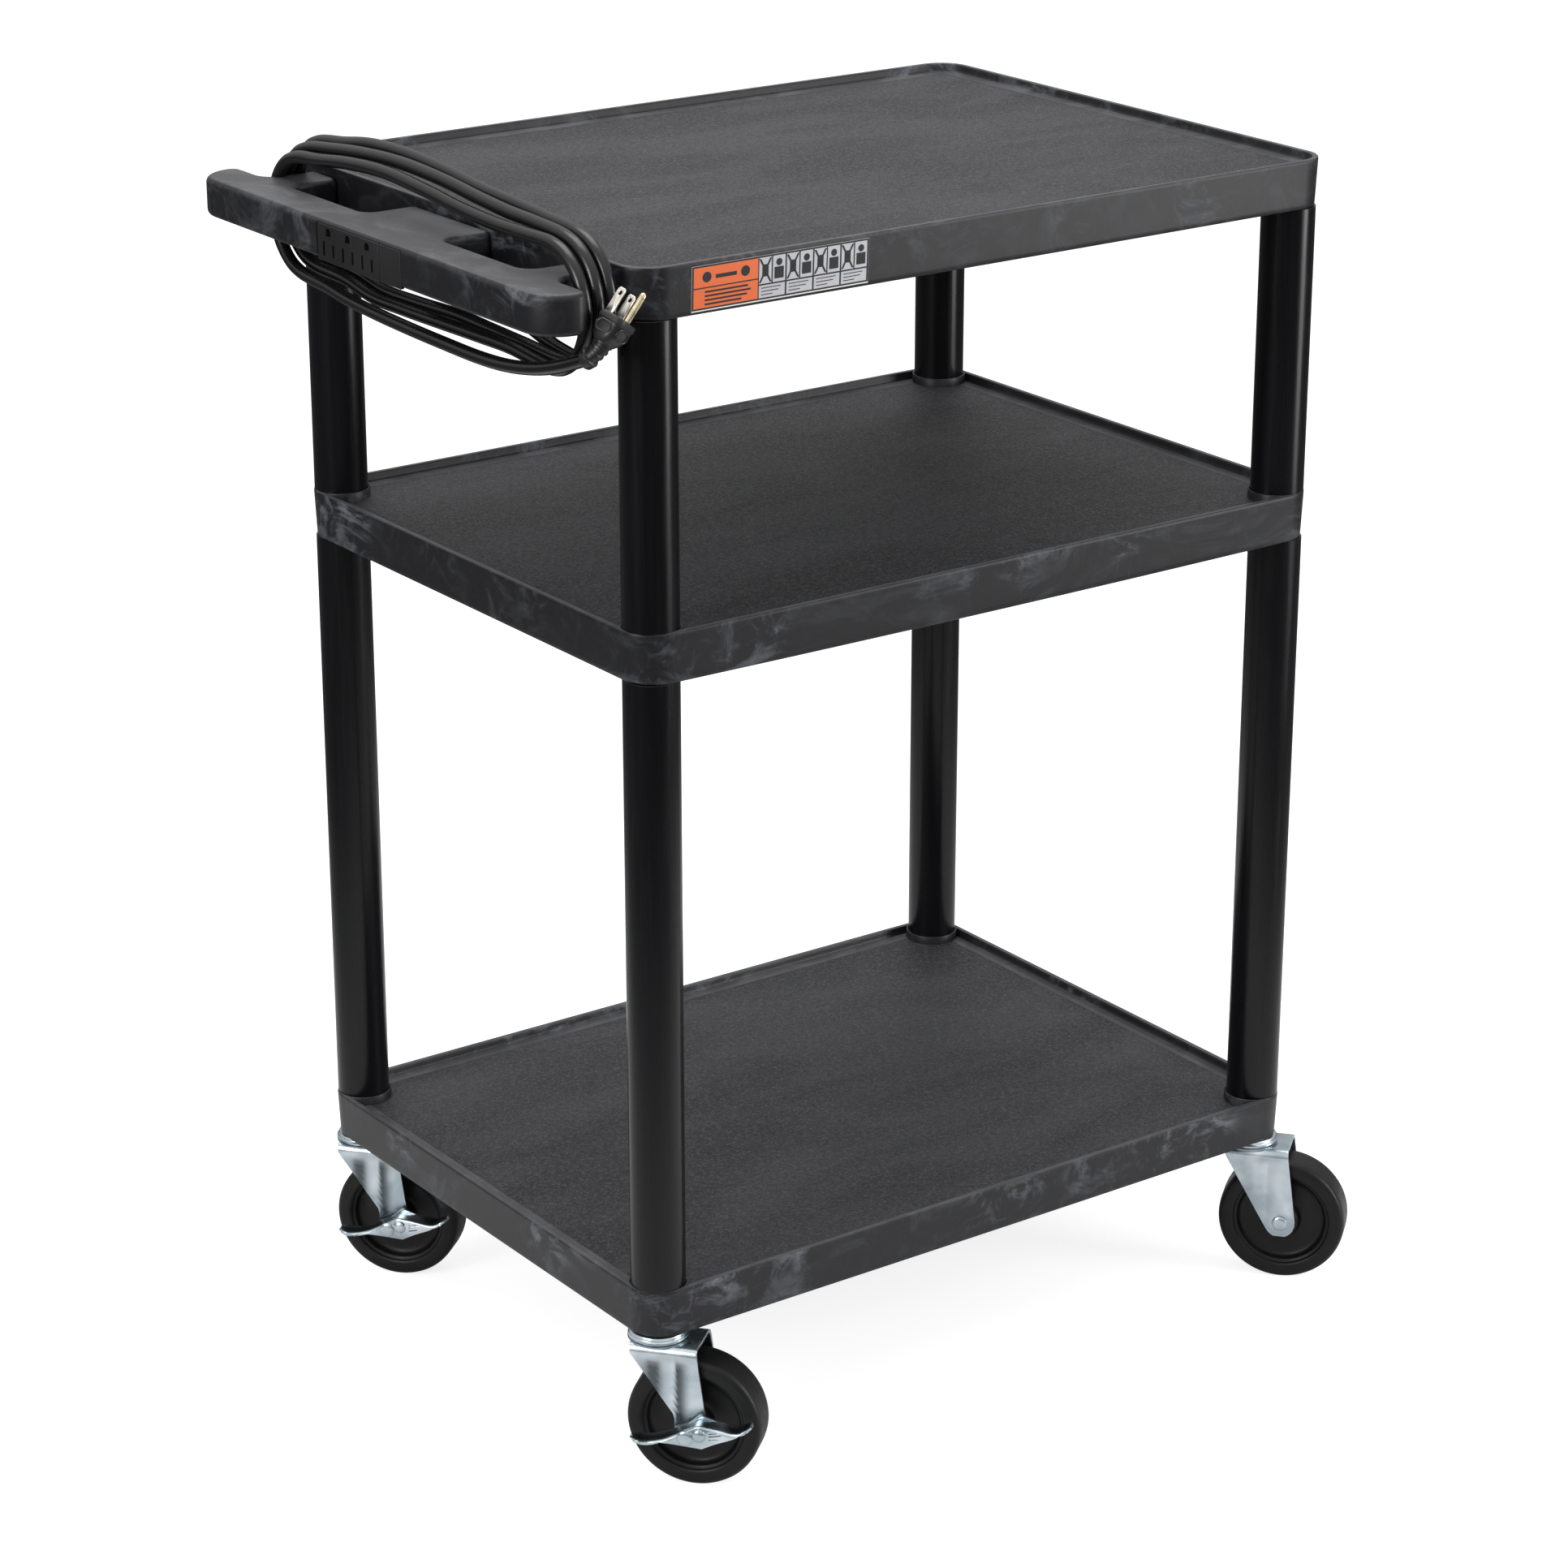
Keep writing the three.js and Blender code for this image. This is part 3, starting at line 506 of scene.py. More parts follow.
# ---------------- power cord
LANES = (-315.8, -325.6, -335.4)
LOOP_RADIUS = 42.5
NEAR_LOOP_Y, FAR_LOOP_Y = -171.0, 153.2
NEAR_LOOP_Z = (874.0, 873.0, 869.5)
FAR_LOOP_Z = (878.0, 874.5, 869.0)
NEAR_ARC, FAR_ARC = (266, 100), (80, -82)  # where the end loops start and stop, in degrees
CROSSING_START, CROSSING_LENGTH = 150, 271  # along y, where a bottom run steps over to the next lane
LEAD = [(-316, -28, 857), (-316, -52, 856), (-316, -78, 851.5), (-316, -104, 844), (-316, -130, 837),
        (-316, -154, 832.9)]
TOP_RUNS = [
    [(-140, 919.2), (-103, 921.5), (-58, 924), (-10, 928.4), (43, 931.3), (91, 929.6), (126, 924.6)],
    [(-140, 917.8), (-108, 918.8), (-70, 921.4), (-28, 925.3), (28, 927.8), (80, 925.8), (128, 921)],
    [(-140, 911.9), (-108, 911.8), (-63, 914), (-20, 918), (36, 921.6), (85, 919.4), (128, 914.4)],
]
BOTTOM_RUNS = [
    [(108, 833.5), (70, 829), (26, 830), (-37, 833), (-81, 832.5), (-121, 832)],
    [(108, 830.5), (70, 825.5), (26, 826), (-37, 828), (-81, 829.5), (-121, 830.5)],
]
TAIL = [(-337, 118, 824.5), (-338.5, 90, 822), (-341, 50, 820.8), (-343, 0, 820.1), (-344.6, -50, 820),
        (-345.8, -96, 820.3), (-347, -130, 822.4), (-348.2, -160, 826.6), (-349, -185, 832),
        (-348.9, -204, 837.6)]


def loop_points(lane, middle_y, middle_z, start, end):
    """Points round the end of a hank, from one angle to another, measured from +Y towards +Z."""
    return [(lane, y, z) for y, z in arc(middle_y, middle_z, LOOP_RADIUS, start, end, 7)]


def cord_route():
    route = list(LEAD)
    for turn, (lane, near_z, far_z) in enumerate(zip(LANES, NEAR_LOOP_Z, FAR_LOOP_Z)):
        route += loop_points(lane, NEAR_LOOP_Y, near_z, *NEAR_ARC)
        route += [(lane, y, z) for y, z in TOP_RUNS[turn]]
        route += loop_points(lane, FAR_LOOP_Y, far_z, *FAR_ARC)
        if turn < len(BOTTOM_RUNS):
            step = LANES[turn + 1] - lane
            for y, z in BOTTOM_RUNS[turn]:
                route.append((lane + step * (CROSSING_START - y) / CROSSING_LENGTH, y, z))
    return route + TAIL + [tuple(RELIEF_END)]


# The plug's own frame: z along the blades, x from blade to blade, y towards the ground pin.
PLUG_FACE = Vector((-324.7, -236.5, 872.5))
PLUG_Z = Vector((0.6, -0.07, 0.795)).normalized()
PLUG_Y = PLUG_Z.cross(Vector((-0.776, -0.287, 0.563))).normalized()
PLUG_X = PLUG_Y.cross(PLUG_Z)
PLUG_FRAME = Matrix.Translation(PLUG_FACE) @ Matrix((PLUG_X, PLUG_Y, PLUG_Z)).transposed().to_4x4()
BLADE_Y = -5.0
PLUG_BODY = 19.0
RELIEF_LENGTH, RELIEF_BEND = 18.0, 18.0
RELIEF_SIDE = (Vector((0, 1, 0)) - PLUG_Z * PLUG_Z.y).normalized()


def relief_point(along):
    """A place on the plug's bent strain relief, and the way it runs there, away from the plug."""
    a = along / RELIEF_BEND
    place = PLUG_FACE - PLUG_Z * (PLUG_BODY + RELIEF_BEND * math.sin(a))
    place = place + RELIEF_SIDE * RELIEF_BEND * (1 - math.cos(a))
    return place, RELIEF_SIDE * math.sin(a) - PLUG_Z * math.cos(a)


RELIEF_END = relief_point(RELIEF_LENGTH)[0]


def make_cord():
    line = [row(*p) for p in catmull(cord_route(), 4.0)]
    data = bpy.data.curves.new("power_cord", "CURVE")
    data.dimensions = "3D"
    data.bevel_depth = CORD_R / 1000
    data.bevel_resolution = 6
    data.use_fill_caps = True
    spline = data.splines.new("POLY")
    spline.points.add(len(line) - 1)
    for point, place in zip(spline.points, line):
        point.co = (*place, 1.0)
    spline.use_smooth = True
    data.materials.append(CORD)
    cord = add_object("power_cord", data)
    install(cord, ROOT, "cord_jacket", "cord_lead", "cord_winding", "cord_tail")
    length = sum((b - a).length for a, b in zip(line, line[1:]))
    return cord, length


cord, cord_length = make_cord()


def make_gland():
    """The block under the handle that the cord comes out of, with a ribbed boot."""
    shape = Shape()
    x, z = LEAD[0][0], LEAD[0][2]
    front, back, top = -2, 26, BAR_BOTTOM + 2.2
    shape.box(x - 7, x + 6.5, front, back, z - 7.5, top)
    block = soften(build("cord_gland", shape, PLUG), 1.6, 4)
    turn = Matrix.Translation((x, front, z)) @ Matrix.Rotation(math.radians(90), 4, "X")
    profile = [(6.6, -1), (6.6, 2.0)]
    rib_pitch, groove = 4.2, 1.0
    for i in range(6):
        at, radius = 2.4 + i * rib_pitch, 6.5 - i * 0.16
        profile += [(radius - groove, at), (radius - groove, at + 1.1), (radius, at + 1.5), (radius, at + 3.7)]
    profile += [(5.5, 27.2), (5.0, 28.0)]
    install(block, ROOT, "cord_jacket", "cord_gland")
    install(turned("cord_gland_boot", PLUG, turn, profile, 32), ROOT, "cord_jacket")


make_gland()


# ---------------- plug
def make_plug_body():
    body = Shape()
    sections = [(0.0, 9.9, 9.7, 4.5), (-0.35, 10.6, 10.4, 5), (-1.2, 11, 10.75, 5.5), (-4.2, 11, 10.75, 5.5),
                (-4.9, 10.5, 10.2, 5.4), (-12.5, 9.9, 9.6, 5.4), (-16, 8.9, 8.7, 6.2), (-18.3, 7.6, 7.5, 7.0),
                (-19.2, 7.0, 7.0, 6.9)]
    body.loops([rounded_loop(hx, hy, min(r, hx - 0.05, hy - 0.05), z, 6) for z, hx, hy, r in sections])
    return install(build("plug_body", body, PLUG, PLUG_FRAME), ROOT, "cord_jacket", "plug_body")


def make_relief():
    """The ribbed strain relief, bent back towards the cord."""
    profile = [(-1.0, 6.9), (1.2, 6.7), (1.6, 5.7), (2.9, 5.7), (3.3, 6.4), (5.0, 6.3), (5.4, 5.5), (6.7, 5.5),
               (7.1, 6.1), (8.8, 6.0), (9.2, 5.4), (12.0, 5.4), (12.5, 6.9), (13.0, 7.3), (16.6, 7.3),
               (17.2, 6.9), (17.4, 5.6), (18.8, 5.3), (19.2, 4.9)]
    loops = []
    for along, radius in profile:
        place, way = relief_point(along)
        side = way.cross(RELIEF_SIDE.cross(PLUG_Z)).normalized()
        other = way.cross(side)
        loops.append([tuple(place + side * radius * math.cos(a) + other * radius * math.sin(a))
                      for a in ring_angles(36)])
    relief = Shape()
    relief.loops(loops)
    return install(build("plug_strain_relief", relief, PLUG), ROOT, "cord_jacket")


def make_grip():
    """A raised oval ring on each of the four sides of the plug."""
    grip = Shape()
    ring_middle, ring_half_x, ring_half_z, ring_corner = -9.6, 6.6, 4.3, 4.0
    for sign in (-1, 1):
        for across in (False, True):
            loops = []
            for grow, lift in ((0.0, -1.2), (0.0, 0.35), (-0.5, 0.65), (-1.1, 0.4), (-1.4, -0.2)):
                loop = []
                for u, v, _ in rounded_loop(ring_half_x + grow, ring_half_z + grow, ring_corner + grow, 0, 6):
                    level = ring_middle + v
                    face = sign * (9.95 + (level + 12.5) * 0.06 + lift)
                    loop.append((face, u, level) if across else (u, face, level))
                loops.append(loop)
            grip.loops(loops, False, False)
    return install(build("plug_grip_rings", grip, PLUG, PLUG_FRAME), ROOT, "cord_jacket")


def make_blade(name, side):
    x = side * BLADE_OFFSET
    half_width, half_thick, tip = 3.2, 0.75, 18.1
    outline = [(-half_width, 0.3), (half_width, 0.3), (half_width, tip - 1.7), (half_width - 1, tip),
               (-half_width + 1, tip), (-half_width, tip - 1.7)]
    blade = Shape()
    blade.loops([[(x + dx, BLADE_Y + y, z) for y, z in outline] for dx in (-half_thick, half_thick)])
    hole = Shape()
    across = Matrix.Translation((x, BLADE_Y, 14.2)) @ Matrix.Rotation(math.radians(90), 4, "Y")
    hole.lathe([(1.6, -3), (1.6, 3)], 24, True, across)
    obj = cut(build(name, blade, NICKEL, PLUG_FRAME), build("hole", hole, NICKEL, PLUG_FRAME))
    soften(obj, 0.18, 2)
    return install(obj, ROOT, "blade_nickel", name)


def make_ground_pin():
    profile = [(2.4, 0.3), (2.4, 18.9), (2.25, 20.2), (1.9, 21.2), (1.3, 22.0), (0.5, 22.35)]
    place = PLUG_FRAME @ Matrix.Translation((0, BLADE_Y + GROUND_OFFSET, 0))
    return install(turned("plug_ground_pin", PIN, place, profile, 32), ROOT, "blade_nickel", "plug_ground_pin")


plug_pieces = [make_plug_body(), make_relief(), make_grip(), make_blade("plug_blade_line", -1),
               make_blade("plug_blade_neutral", 1), make_ground_pin()]


# ---------------- shelves
def outline_distance(dx, dy, inset):
    """How far the shelf outline is from a leg axis in the outward direction (dx, dy), at that inset."""
    centre = LEG_INSET - CORNER
    edge = LEG_INSET - inset
    low, high = 0.0, 60.0
    for _ in range(30):
        middle = (low + high) / 2
        px, py = dx * middle, dy * middle
        if px > centre and py > centre:
            inside = math.hypot(px - centre, py - centre) < CORNER - inset
        else:
            inside = px < edge and py < edge
        low, high = (middle, high) if inside else (low, middle)
    return low


def clipped_ring(shape, cx, cy, profile):
    """A ring round a leg, given as radius, height and how far it stays inside the shelf's outline."""
    sx, sy = math.copysign(1, cx), math.copysign(1, cy)
    loops = []
    for radius, z, inset in profile:
        loop = []
        for a in ring_angles(72):
            dx, dy = math.cos(a), math.sin(a)
            reach = min(radius, outline_distance(dx * sx, dy * sy, inset))
            loop.append((cx + dx * reach, cy + dy * reach, z))
        loops.append(loop)
    shape.loops(loops, False, False)


def dense_outline(inset):
    """The shelf outline at an inset, with points along the straight sides too."""
    steps, pieces = 12, 16
    corners = rounded_loop(SHELF_LENGTH / 2 - inset, SHELF_DEPTH / 2 - inset, CORNER - inset, 0, steps)
    loop = []
    for k, (x, y, _) in enumerate(corners):
        loop.append((x, y))
        if k % (steps + 1) == steps:
            next_x, next_y, _ = corners[(k + 1) % len(corners)]
            for i in range(1, pieces):
                t = i / pieces
                loop.append((x + (next_x - x) * t, y + (next_y - y) * t))
    return loop


# inset and height of the lines that run round a shelf
SKIRT = [(7.0, DECK_UNDER), (6.4, 23.6), (6.0, 2.0), (5.6, 0.5), (4.9, 0.0), (2.6, 0.0), (1.9, 0.35),
         (DRAFT, 1.2)]
SKIRT += [(DRAFT * (1 - z / SHELF_HEIGHT), z) for z in (4, 9, 14, 19, 24, 29, 33.2)]
LIP = [(0.05, 34.7), (0.25, 35.4), (0.75, 35.85), (1.3, 36), (3.6, 36), (4.3, 35.8), (4.8, 35.2), (5.0, 34.4),
       (5.3, 31.6), (5.6, 30.5), (6.3, 29.75), (7.4, DECK_TOP)]
BOW = {"middle_shelf": 1.6, "bottom_shelf": 0.6, "top_shelf": 0.4}  # how far the near skirt sags at its middle
BOW_HEIGHT = 20  # the part of the skirt that sags


def make_shelf(name, base, collars, sockets):
    shape = Shape()
    loops = []
    for inset, z in SKIRT + LIP:
        loop = []
        for x, y in dense_outline(inset):
            drop = 0.0
            if y < -SHELF_DEPTH / 2 + 12 and z < BOW_HEIGHT:
                drop = BOW[name] * max(0.0, 1 - (x / (SHELF_LENGTH / 2)) ** 2) * (1 - z / BOW_HEIGHT)
            loop.append((x, y, base + z - drop))
        loops.append(loop)
    shape.loops(loops, False, False)
    # the deck's top and underside: a ring inside the lip, closed by one face
    for z, *insets in ((DECK_TOP, LIP[-1][0], PEBBLE_INSET), (DECK_UNDER, SKIRT[0][0], 12.0)):
        shape.loops([[(x, y, base + z) for x, y in dense_outline(inset)] for inset in insets], False, True)
    rib_half, rib_foot, rib_top = 1.5, base + 17.5, base + DECK_UNDER + 1
    for y in (-SHELF_DEPTH / 6, SHELF_DEPTH / 6):
        shape.box(-298, 298, y - rib_half, y + rib_half, rib_foot + 0.1, rib_top)
    for x in (-SHELF_LENGTH / 4, 0, SHELF_LENGTH / 4):
        shape.box(x - rib_half, x + rib_half, -222, 222, rib_foot, rib_top)
    bore, bore_foot, bore_depth = (16.8, 0.35, 14) if sockets else (5.9, 0.3, 10)
    collar = [(21.9, 29, 0.3), (21.6, 35.3, 0.25), (21.3, 35.9, 0.45), (20.9, 36.05, 0.7), (20.35, 35.8, 1.2),
              (20.3, 31, 1.6)]
    boss = [(21.4, 25, 2.2), (21.2, 1.0, 2.4), (20.8, 0.35, 2.9), (20.3, 0.3, 3.4), (bore, bore_foot, 3.4),
            (bore, bore_depth, 3.4)]
    for cx, cy in CORNERS.values():
        for profile in ([collar] if collars else []) + [boss]:
            clipped_ring(shape, cx, cy, [(radius, base + z, inset) for radius, z, inset in profile])
    install(build(name, shape, FOAM, None, 30), ROOT, "shelf_plastic", name)


for shelf_name, level in LEVELS.items():
    make_shelf(shelf_name, level, shelf_name != "top_shelf", shelf_name != "bottom_shelf")


# ---------------- legs
def make_leg(name, cx, cy, foot, head):
    """A tube between two shelves, with a thinner spigot at each end."""
    radius, spigot, bore, spigot_length, edge = 20, 16.5, 13.5, 14, 0.4
    low, high = foot - spigot_length, head + spigot_length
    place = Matrix.Translation((cx, cy, 0))
    tube = Shape()
    tube.lathe([(bore, low), (spigot, low), (spigot, foot), (19.7, foot), (radius, foot + edge),
                (radius, (foot + head) / 2), (radius, head - edge), (19.7, head), (spigot, head),
                (spigot, high), (bore, high)], 72, False, place)
    tube.lathe([(bore, low), (bore, high)], 48, False, place)
    install(build(name, tube, LEG), ROOT, "leg_plastic", name)


for tier, foot, head in (("lower_leg", 150.3, 610.7), ("upper_leg", 643.3, 862.7)):
    for corner, (cx, cy) in CORNERS.items():
        make_leg(f"{tier}_{corner}", cx, cy, foot, head)


# ---------------- push handle
def make_handle():
    """The bar with its webs, seen from above as one half and its mirror image, and the outlet's pocket."""
    root, inner, outer = -SHELF_LENGTH / 2 + 0.6, -BAR_INNER, -BAR_OUTER
    grip_start, grip_end, web_end, bar_end = 50, 157, 190, 234
    half = [(root, grip_start), (inner + 8, grip_start)]
    half += arc(inner + 8, grip_start + 8, 8, -90, -180, 6)[1:]
    half += arc(inner + 11, grip_end - 11, 11, 180, 90, 7)
    half += [(root, grip_end), (root, web_end)]
    half += arc(inner + 12, web_end + 12, 12, -90, -180, 6)
    half += [(inner, bar_end - 12)]
    half += arc(inner - 9, bar_end - 9, 9, 0, 90, 7)[1:]
    half += arc(outer + 27, bar_end - 27, 27, 90, 180, 12)
    outline = half + [(x, -y) for x, y in reversed(half)]
    bar = Shape()
    bar.loops([[(x, y, BAR_BOTTOM) for x, y in outline], [(x, y, BAR_TOP) for x, y in outline]])
    obj = build("push_handle", bar, FOAM)
    soften(obj, 4.6, 6, 50)
    pocket = Shape()
    pocket.box(outer - 5, outer + 3.3, -56.4, 56.4, BAR_BOTTOM - 5, OUTLET_Z + 12.0)
    pocket.box(outer + 3.0, outer + 28, -52.4, 52.4, OUTLET_Z - 9.4, OUTLET_Z + 9.4)
    cut(obj, build("pocket", pocket, FOAM), 30)
    install(obj, ROOT, "shelf_plastic", "push_handle")


make_handle()


def make_outlet():
    """Faceplate with three receptacles, the dark body behind it and the ground contacts seen in the holes."""
    slot_z = OUTLET_Z - 5.9
    ground_z = slot_z + GROUND_OFFSET
    face = -BAR_OUTER
    plate = Shape()
    for y0, y1 in ((-55.4, -27.6), (-27.0, 55.4)):
        plate.box(face, face + 3, y0, y1, BAR_BOTTOM - 0.6, OUTLET_Z + 11.5)
    obj = soften(build("outlet_faceplate", plate, OUTLET), 0.6, 3)
    holes = Shape()
    for y in RECEPTACLES:
        for side in (-1, 1):
            at = y + side * BLADE_OFFSET
            half = 4.5 if side < 0 else 5.1
            holes.box(face - 4, face + 8, at - 1.25, at + 1.25, slot_z - half, slot_z + half)
        d_shape = arc(0, 0, 3.1, 0, 180, 14) + [(-3.1, -2.6), (3.1, -2.6)]
        holes.loops([[(x, y + a, ground_z + b) for a, b in d_shape] for x in (face - 4, face + 8)])
    cut(obj, build("outlet_holes", holes, SLOT), 30)
    install(obj, ROOT, "outlet_plastic", "outlet_faceplate")
    back = Shape()
    back.box(face + 4.4, face + 27, -52, 52, OUTLET_Z - 9.1, OUTLET_Z + 9.1)
    body = soften(build("outlet_body", back, SLOT), 0.4, 2)
    install(body, ROOT, "outlet_plastic", "outlet_body")
    blades = Shape()
    for y in RECEPTACLES:
        blades.box(face + 3.2, face + 3.9, y - 1.6, y + 0.2, ground_z - 1.7, ground_z - 0.7)
    install(build("ground_contacts", blades, BRASS), ROOT, "contact_brass")


make_outlet()


# ---------------- label
FRAME_LIFT, PANEL_LIFT, MARK_LIFT = 0.2, 0.27, 0.34  # how far the printed layers stand off the film's middle


def patch(shape, x0, x1, z0, z1, lift):
    shape.box(x0, x1, -lift - 0.06, -lift, z0, z1)


def disc(shape, cx, cz, radius, sides):
    shape.loops([[(cx + radius * math.cos(a), y, cz + radius * math.sin(a)) for a in ring_angles(sides)]
                 for y in (-MARK_LIFT, -MARK_LIFT - 0.06)])


def draw_cell_mark(shape, cx, cz, index):
    """An abstract sign for one cell of the label: a disc on a block, or a block with a cross over it."""
    if index % 2:
        disc(shape, cx, cz + 4.4, 2.5, 20)
        patch(shape, cx - 3.8, cx + 3.8, cz - 6.8, cz + 1.2, MARK_LIFT)
    else:
        shape.box(cx - 2.6, cx + 2.6, -0.38, -0.33, cz - 4.2, cz + 4.2)
        for lean in (-4.4, 4.4):
            bar = [(cx + lean - 0.8, cz - 8.2), (cx + lean + 0.8, cz - 8.2), (cx - lean + 0.8, cz + 8.2),
                   (cx - lean - 0.8, cz + 8.2)]
            shape.loops([[(x, y, z) for x, z in bar] for y in (-0.34, -0.42)])


def make_label():
    """The label on the near skirt, with plain shapes in the place of its words and pictures."""
    below_rim, middle_x = 18.5, -189.5
    lean = math.atan2(DRAFT, SHELF_HEIGHT)
    skirt = SHELF_DEPTH / 2 - DRAFT * below_rim / SHELF_HEIGHT
    height = LEVELS["top_shelf"] + SHELF_HEIGHT - below_rim
    place = Matrix.Translation((middle_x, -skirt - 0.3, height)) @ Matrix.Rotation(lean, 4, "X")
    film, orange, black, panel, marks = Shape(), Shape(), Shape(), Shape(), Shape()
    film.box(-72.5, 72.5, -0.2, 0.15, -15.5, 15.5)
    patch(black, -72.4, 72.4, -14.6, 15.4, FRAME_LIFT)
    block_left, block_right = -71.0, -19.2
    patch(orange, block_left, block_right, 0.6, 14.2, PANEL_LIFT)
    patch(orange, block_left, block_right, -13.4, -0.3, PANEL_LIFT)
    for j, share in enumerate((0.94, 1.0, 0.92, 0.8)):
        patch(marks, -62, -62 + 37 * share, -3.4 - j * 2.8, -2.1 - j * 2.8, MARK_LIFT)
    patch(marks, -53.5, -36.5, 5.6, 8.2, MARK_LIFT)
    for cx in (-60.5, -29.5):
        disc(marks, cx, 7.3, 3.6, 28)
    pair_pitch, cell_pitch, cell_width = 22.6, 11.2, 10.1
    for k in range(4):
        x0 = -18.3 + k * pair_pitch
        for j in range(2):
            cell = x0 + j * cell_pitch
            patch(panel, cell, cell + cell_width, -3.8, 14.2, PANEL_LIFT)
            draw_cell_mark(marks, cell + cell_width / 2, 5.2, j)
        patch(panel, x0, x0 + 21.2, -13.4, -4.9, PANEL_LIFT)
        for j, share in enumerate((0.95, 0.84, 0.55)):
            patch(marks, x0 + 1.8, x0 + 1.8 + 17 * share, -7.0 - j * 2.3, -6.4 - j * 2.3, MARK_LIFT)
    install(build("product_label", film, INK_WHITE, place), ROOT, "label_stock", "product_label")
    for name, shape, ink in (("label_frames", black, INK_BLACK), ("label_block", orange, INK_ORANGE),
                             ("label_panels", panel, INK_PANEL), ("label_marks", marks, INK_BLACK)):
        install(build(name, shape, ink, place), ROOT, "label_stock")


make_label()


# ---------------- casters
SHEET = 2.5  # thickness of the fork
FOOT_RADIUS = 12.2  # of the rounded lower end of a fork plate
FOOT_TANGENT = 43.9  # height below which the front of the plain fork is that round end
SHOULDER = 104.5  # height where a fork plate starts to bend over
SHOULDER_FRONT, PLATE_REAR = -16.0, 33.0
PLATE_HEIGHTS = (38.6, 39.0, 39.8, 41.5, 44, 48, 52, 56, 60, 66, 72, 78, 84, 90, 95, 99, 102, SHOULDER)


def front_edge(z, slope):
    """Leading edge of a fork plate at height z."""
    if z > SHOULDER:
        return SHOULDER_FRONT - 1 + (PLATE_TOP - z) / 7
    return SHOULDER_FRONT + (SHOULDER - z) * slope


def rear_edge(z):
    t = max(0.0, min(1.0, (PLATE_TOP - z) / (PLATE_TOP - WHEEL_R)))
    return PLATE_REAR + t * 8.2


def fork_press(x):
    """The pressing across a fork plate at x millimetres behind the swivel axis: how far it stands out, and how
    much painted dark reflection lies along the bends of the sheet there."""
    rise = smooth_step(x, 0, 8) - 1.4 * smooth_step(x, 17, 21) + 0.6 * smooth_step(x, 23, 29)
    groove = smooth_step(x, 17.0, 18.6) * (1 - smooth_step(x, 20, 31))
    return rise, 1.3 * bump_at(x, 1.6, 6.2) + groove + 0.3 * bump_at(x, -10, 6)


def fork_path():
    """The middle of the sheet, seen from the front: up one plate, over the top and down the other."""
    side, top, bend = FORK_OUTER - SHEET / 2, PLATE_TOP - SHEET / 2, 5.0
    path = [(-side, z) for z in PLATE_HEIGHTS]
    path += [(-y, z) for y, z in arc(side - bend, top - bend, bend, 0, 90, 6)]
    path += [(-8, top), (0, top)]
    return path + [(-y, z) for y, z in reversed(path[:-1])]


def make_fork(name, frame_matrix, braked):
    """Pressed fork. The one that carries a brake is slimmer at the front and has a deeper pressing."""
    slope, strength = (0.72, 1.0) if braked else (0.568, 0.22)
    columns = 40
    loops, painted_shade = [], []
    for y, z in fork_path():
        reach = math.sqrt(max(0.0, FOOT_RADIUS ** 2 - max(0.0, WHEEL_R - z) ** 2))
        front = TRAIL - reach
        if z > FOOT_TANGENT:
            front = min(front, front_edge(z, slope))
        rear = rear_edge(z) if z >= WHEEL_R else max(TRAIL + reach * 0.98, front + 1.5)
        depth = 0.0
        if abs(y) > FORK_OUTER - SHEET / 2 - 0.5:
            depth = strength * smooth_step(z, 47, 60) * (1 - smooth_step(z, 97, 104))
        # painted shade towards the foot of the plate, full on the braked fork and faint on the plain one
        foot = 0.6 * strength * (1 - smooth_step(z, 52, 63))
        line = []
        for i in range(columns + 1):
            x = front + (rear - front) * (i / columns)
            # dark is the painted dark reflection along the bends of the pressing
            rise, dark = fork_press(x)
            line.append((x, y + math.copysign(0.75, y) * rise * depth, z))
            # painted shadow under the bend at the top of the plate
            shoulder_shade = 0.5 * bump_at(z, 103.5, 1.5) * bump_at(x, 14, 12)
            painted_shade.append(min(1.0, dark) * depth + shoulder_shade + foot)
        loops.append(line)
    sheet = Shape()
    sheet.loops(loops, False, False, False)
    obj = build(name, sheet, ZINC, frame_matrix, 60, painted_shade)
    thicken(obj, SHEET)
    return soften(obj, 0.7, 3, 60, 50)


def axle_matrix(degrees=90):
    """A frame with its middle in the axle and z along it, towards the brake unless turned by -90."""
    return Matrix.Translation((TRAIL, 0, WHEEL_R)) @ Matrix.Rotation(math.radians(degrees), 4, "X")


def brake_matrix():
    """The frame of a brake lever, with its middle in the axle."""
    return Matrix.Translation((TRAIL, 0, WHEEL_R)) @ Matrix.Rotation(-BRAKE_TILT, 4, "Y")


def make_wheel(name, frame_matrix):
    half = [(6.25, 16.5), (12.4, 16.5), (13.2, 16.3), (13.9, 15.4), (14.6, 9.8), (16.2, 7.9), (19, 7.2),
            (28.5, 6.7), (32.4, 7.2), (34.2, 8.8), (34.9, 11.2), (35.5, 12.3), (36.6, 12.7), (37.4, 13.0),
            (37.9, 14.0), (38.8, 14.9), (40, 15.1), (45.2, 15.2), (47.4, 14.7), (48.9, 13.4), (49.8, 11.2),
            (WHEEL_R, 8.6)]
    full = half + [(r, -z) for r, z in reversed(half)]
    return turned(name, TYRE, frame_matrix, full + [full[0]], 96, False, axle_matrix(), 42)


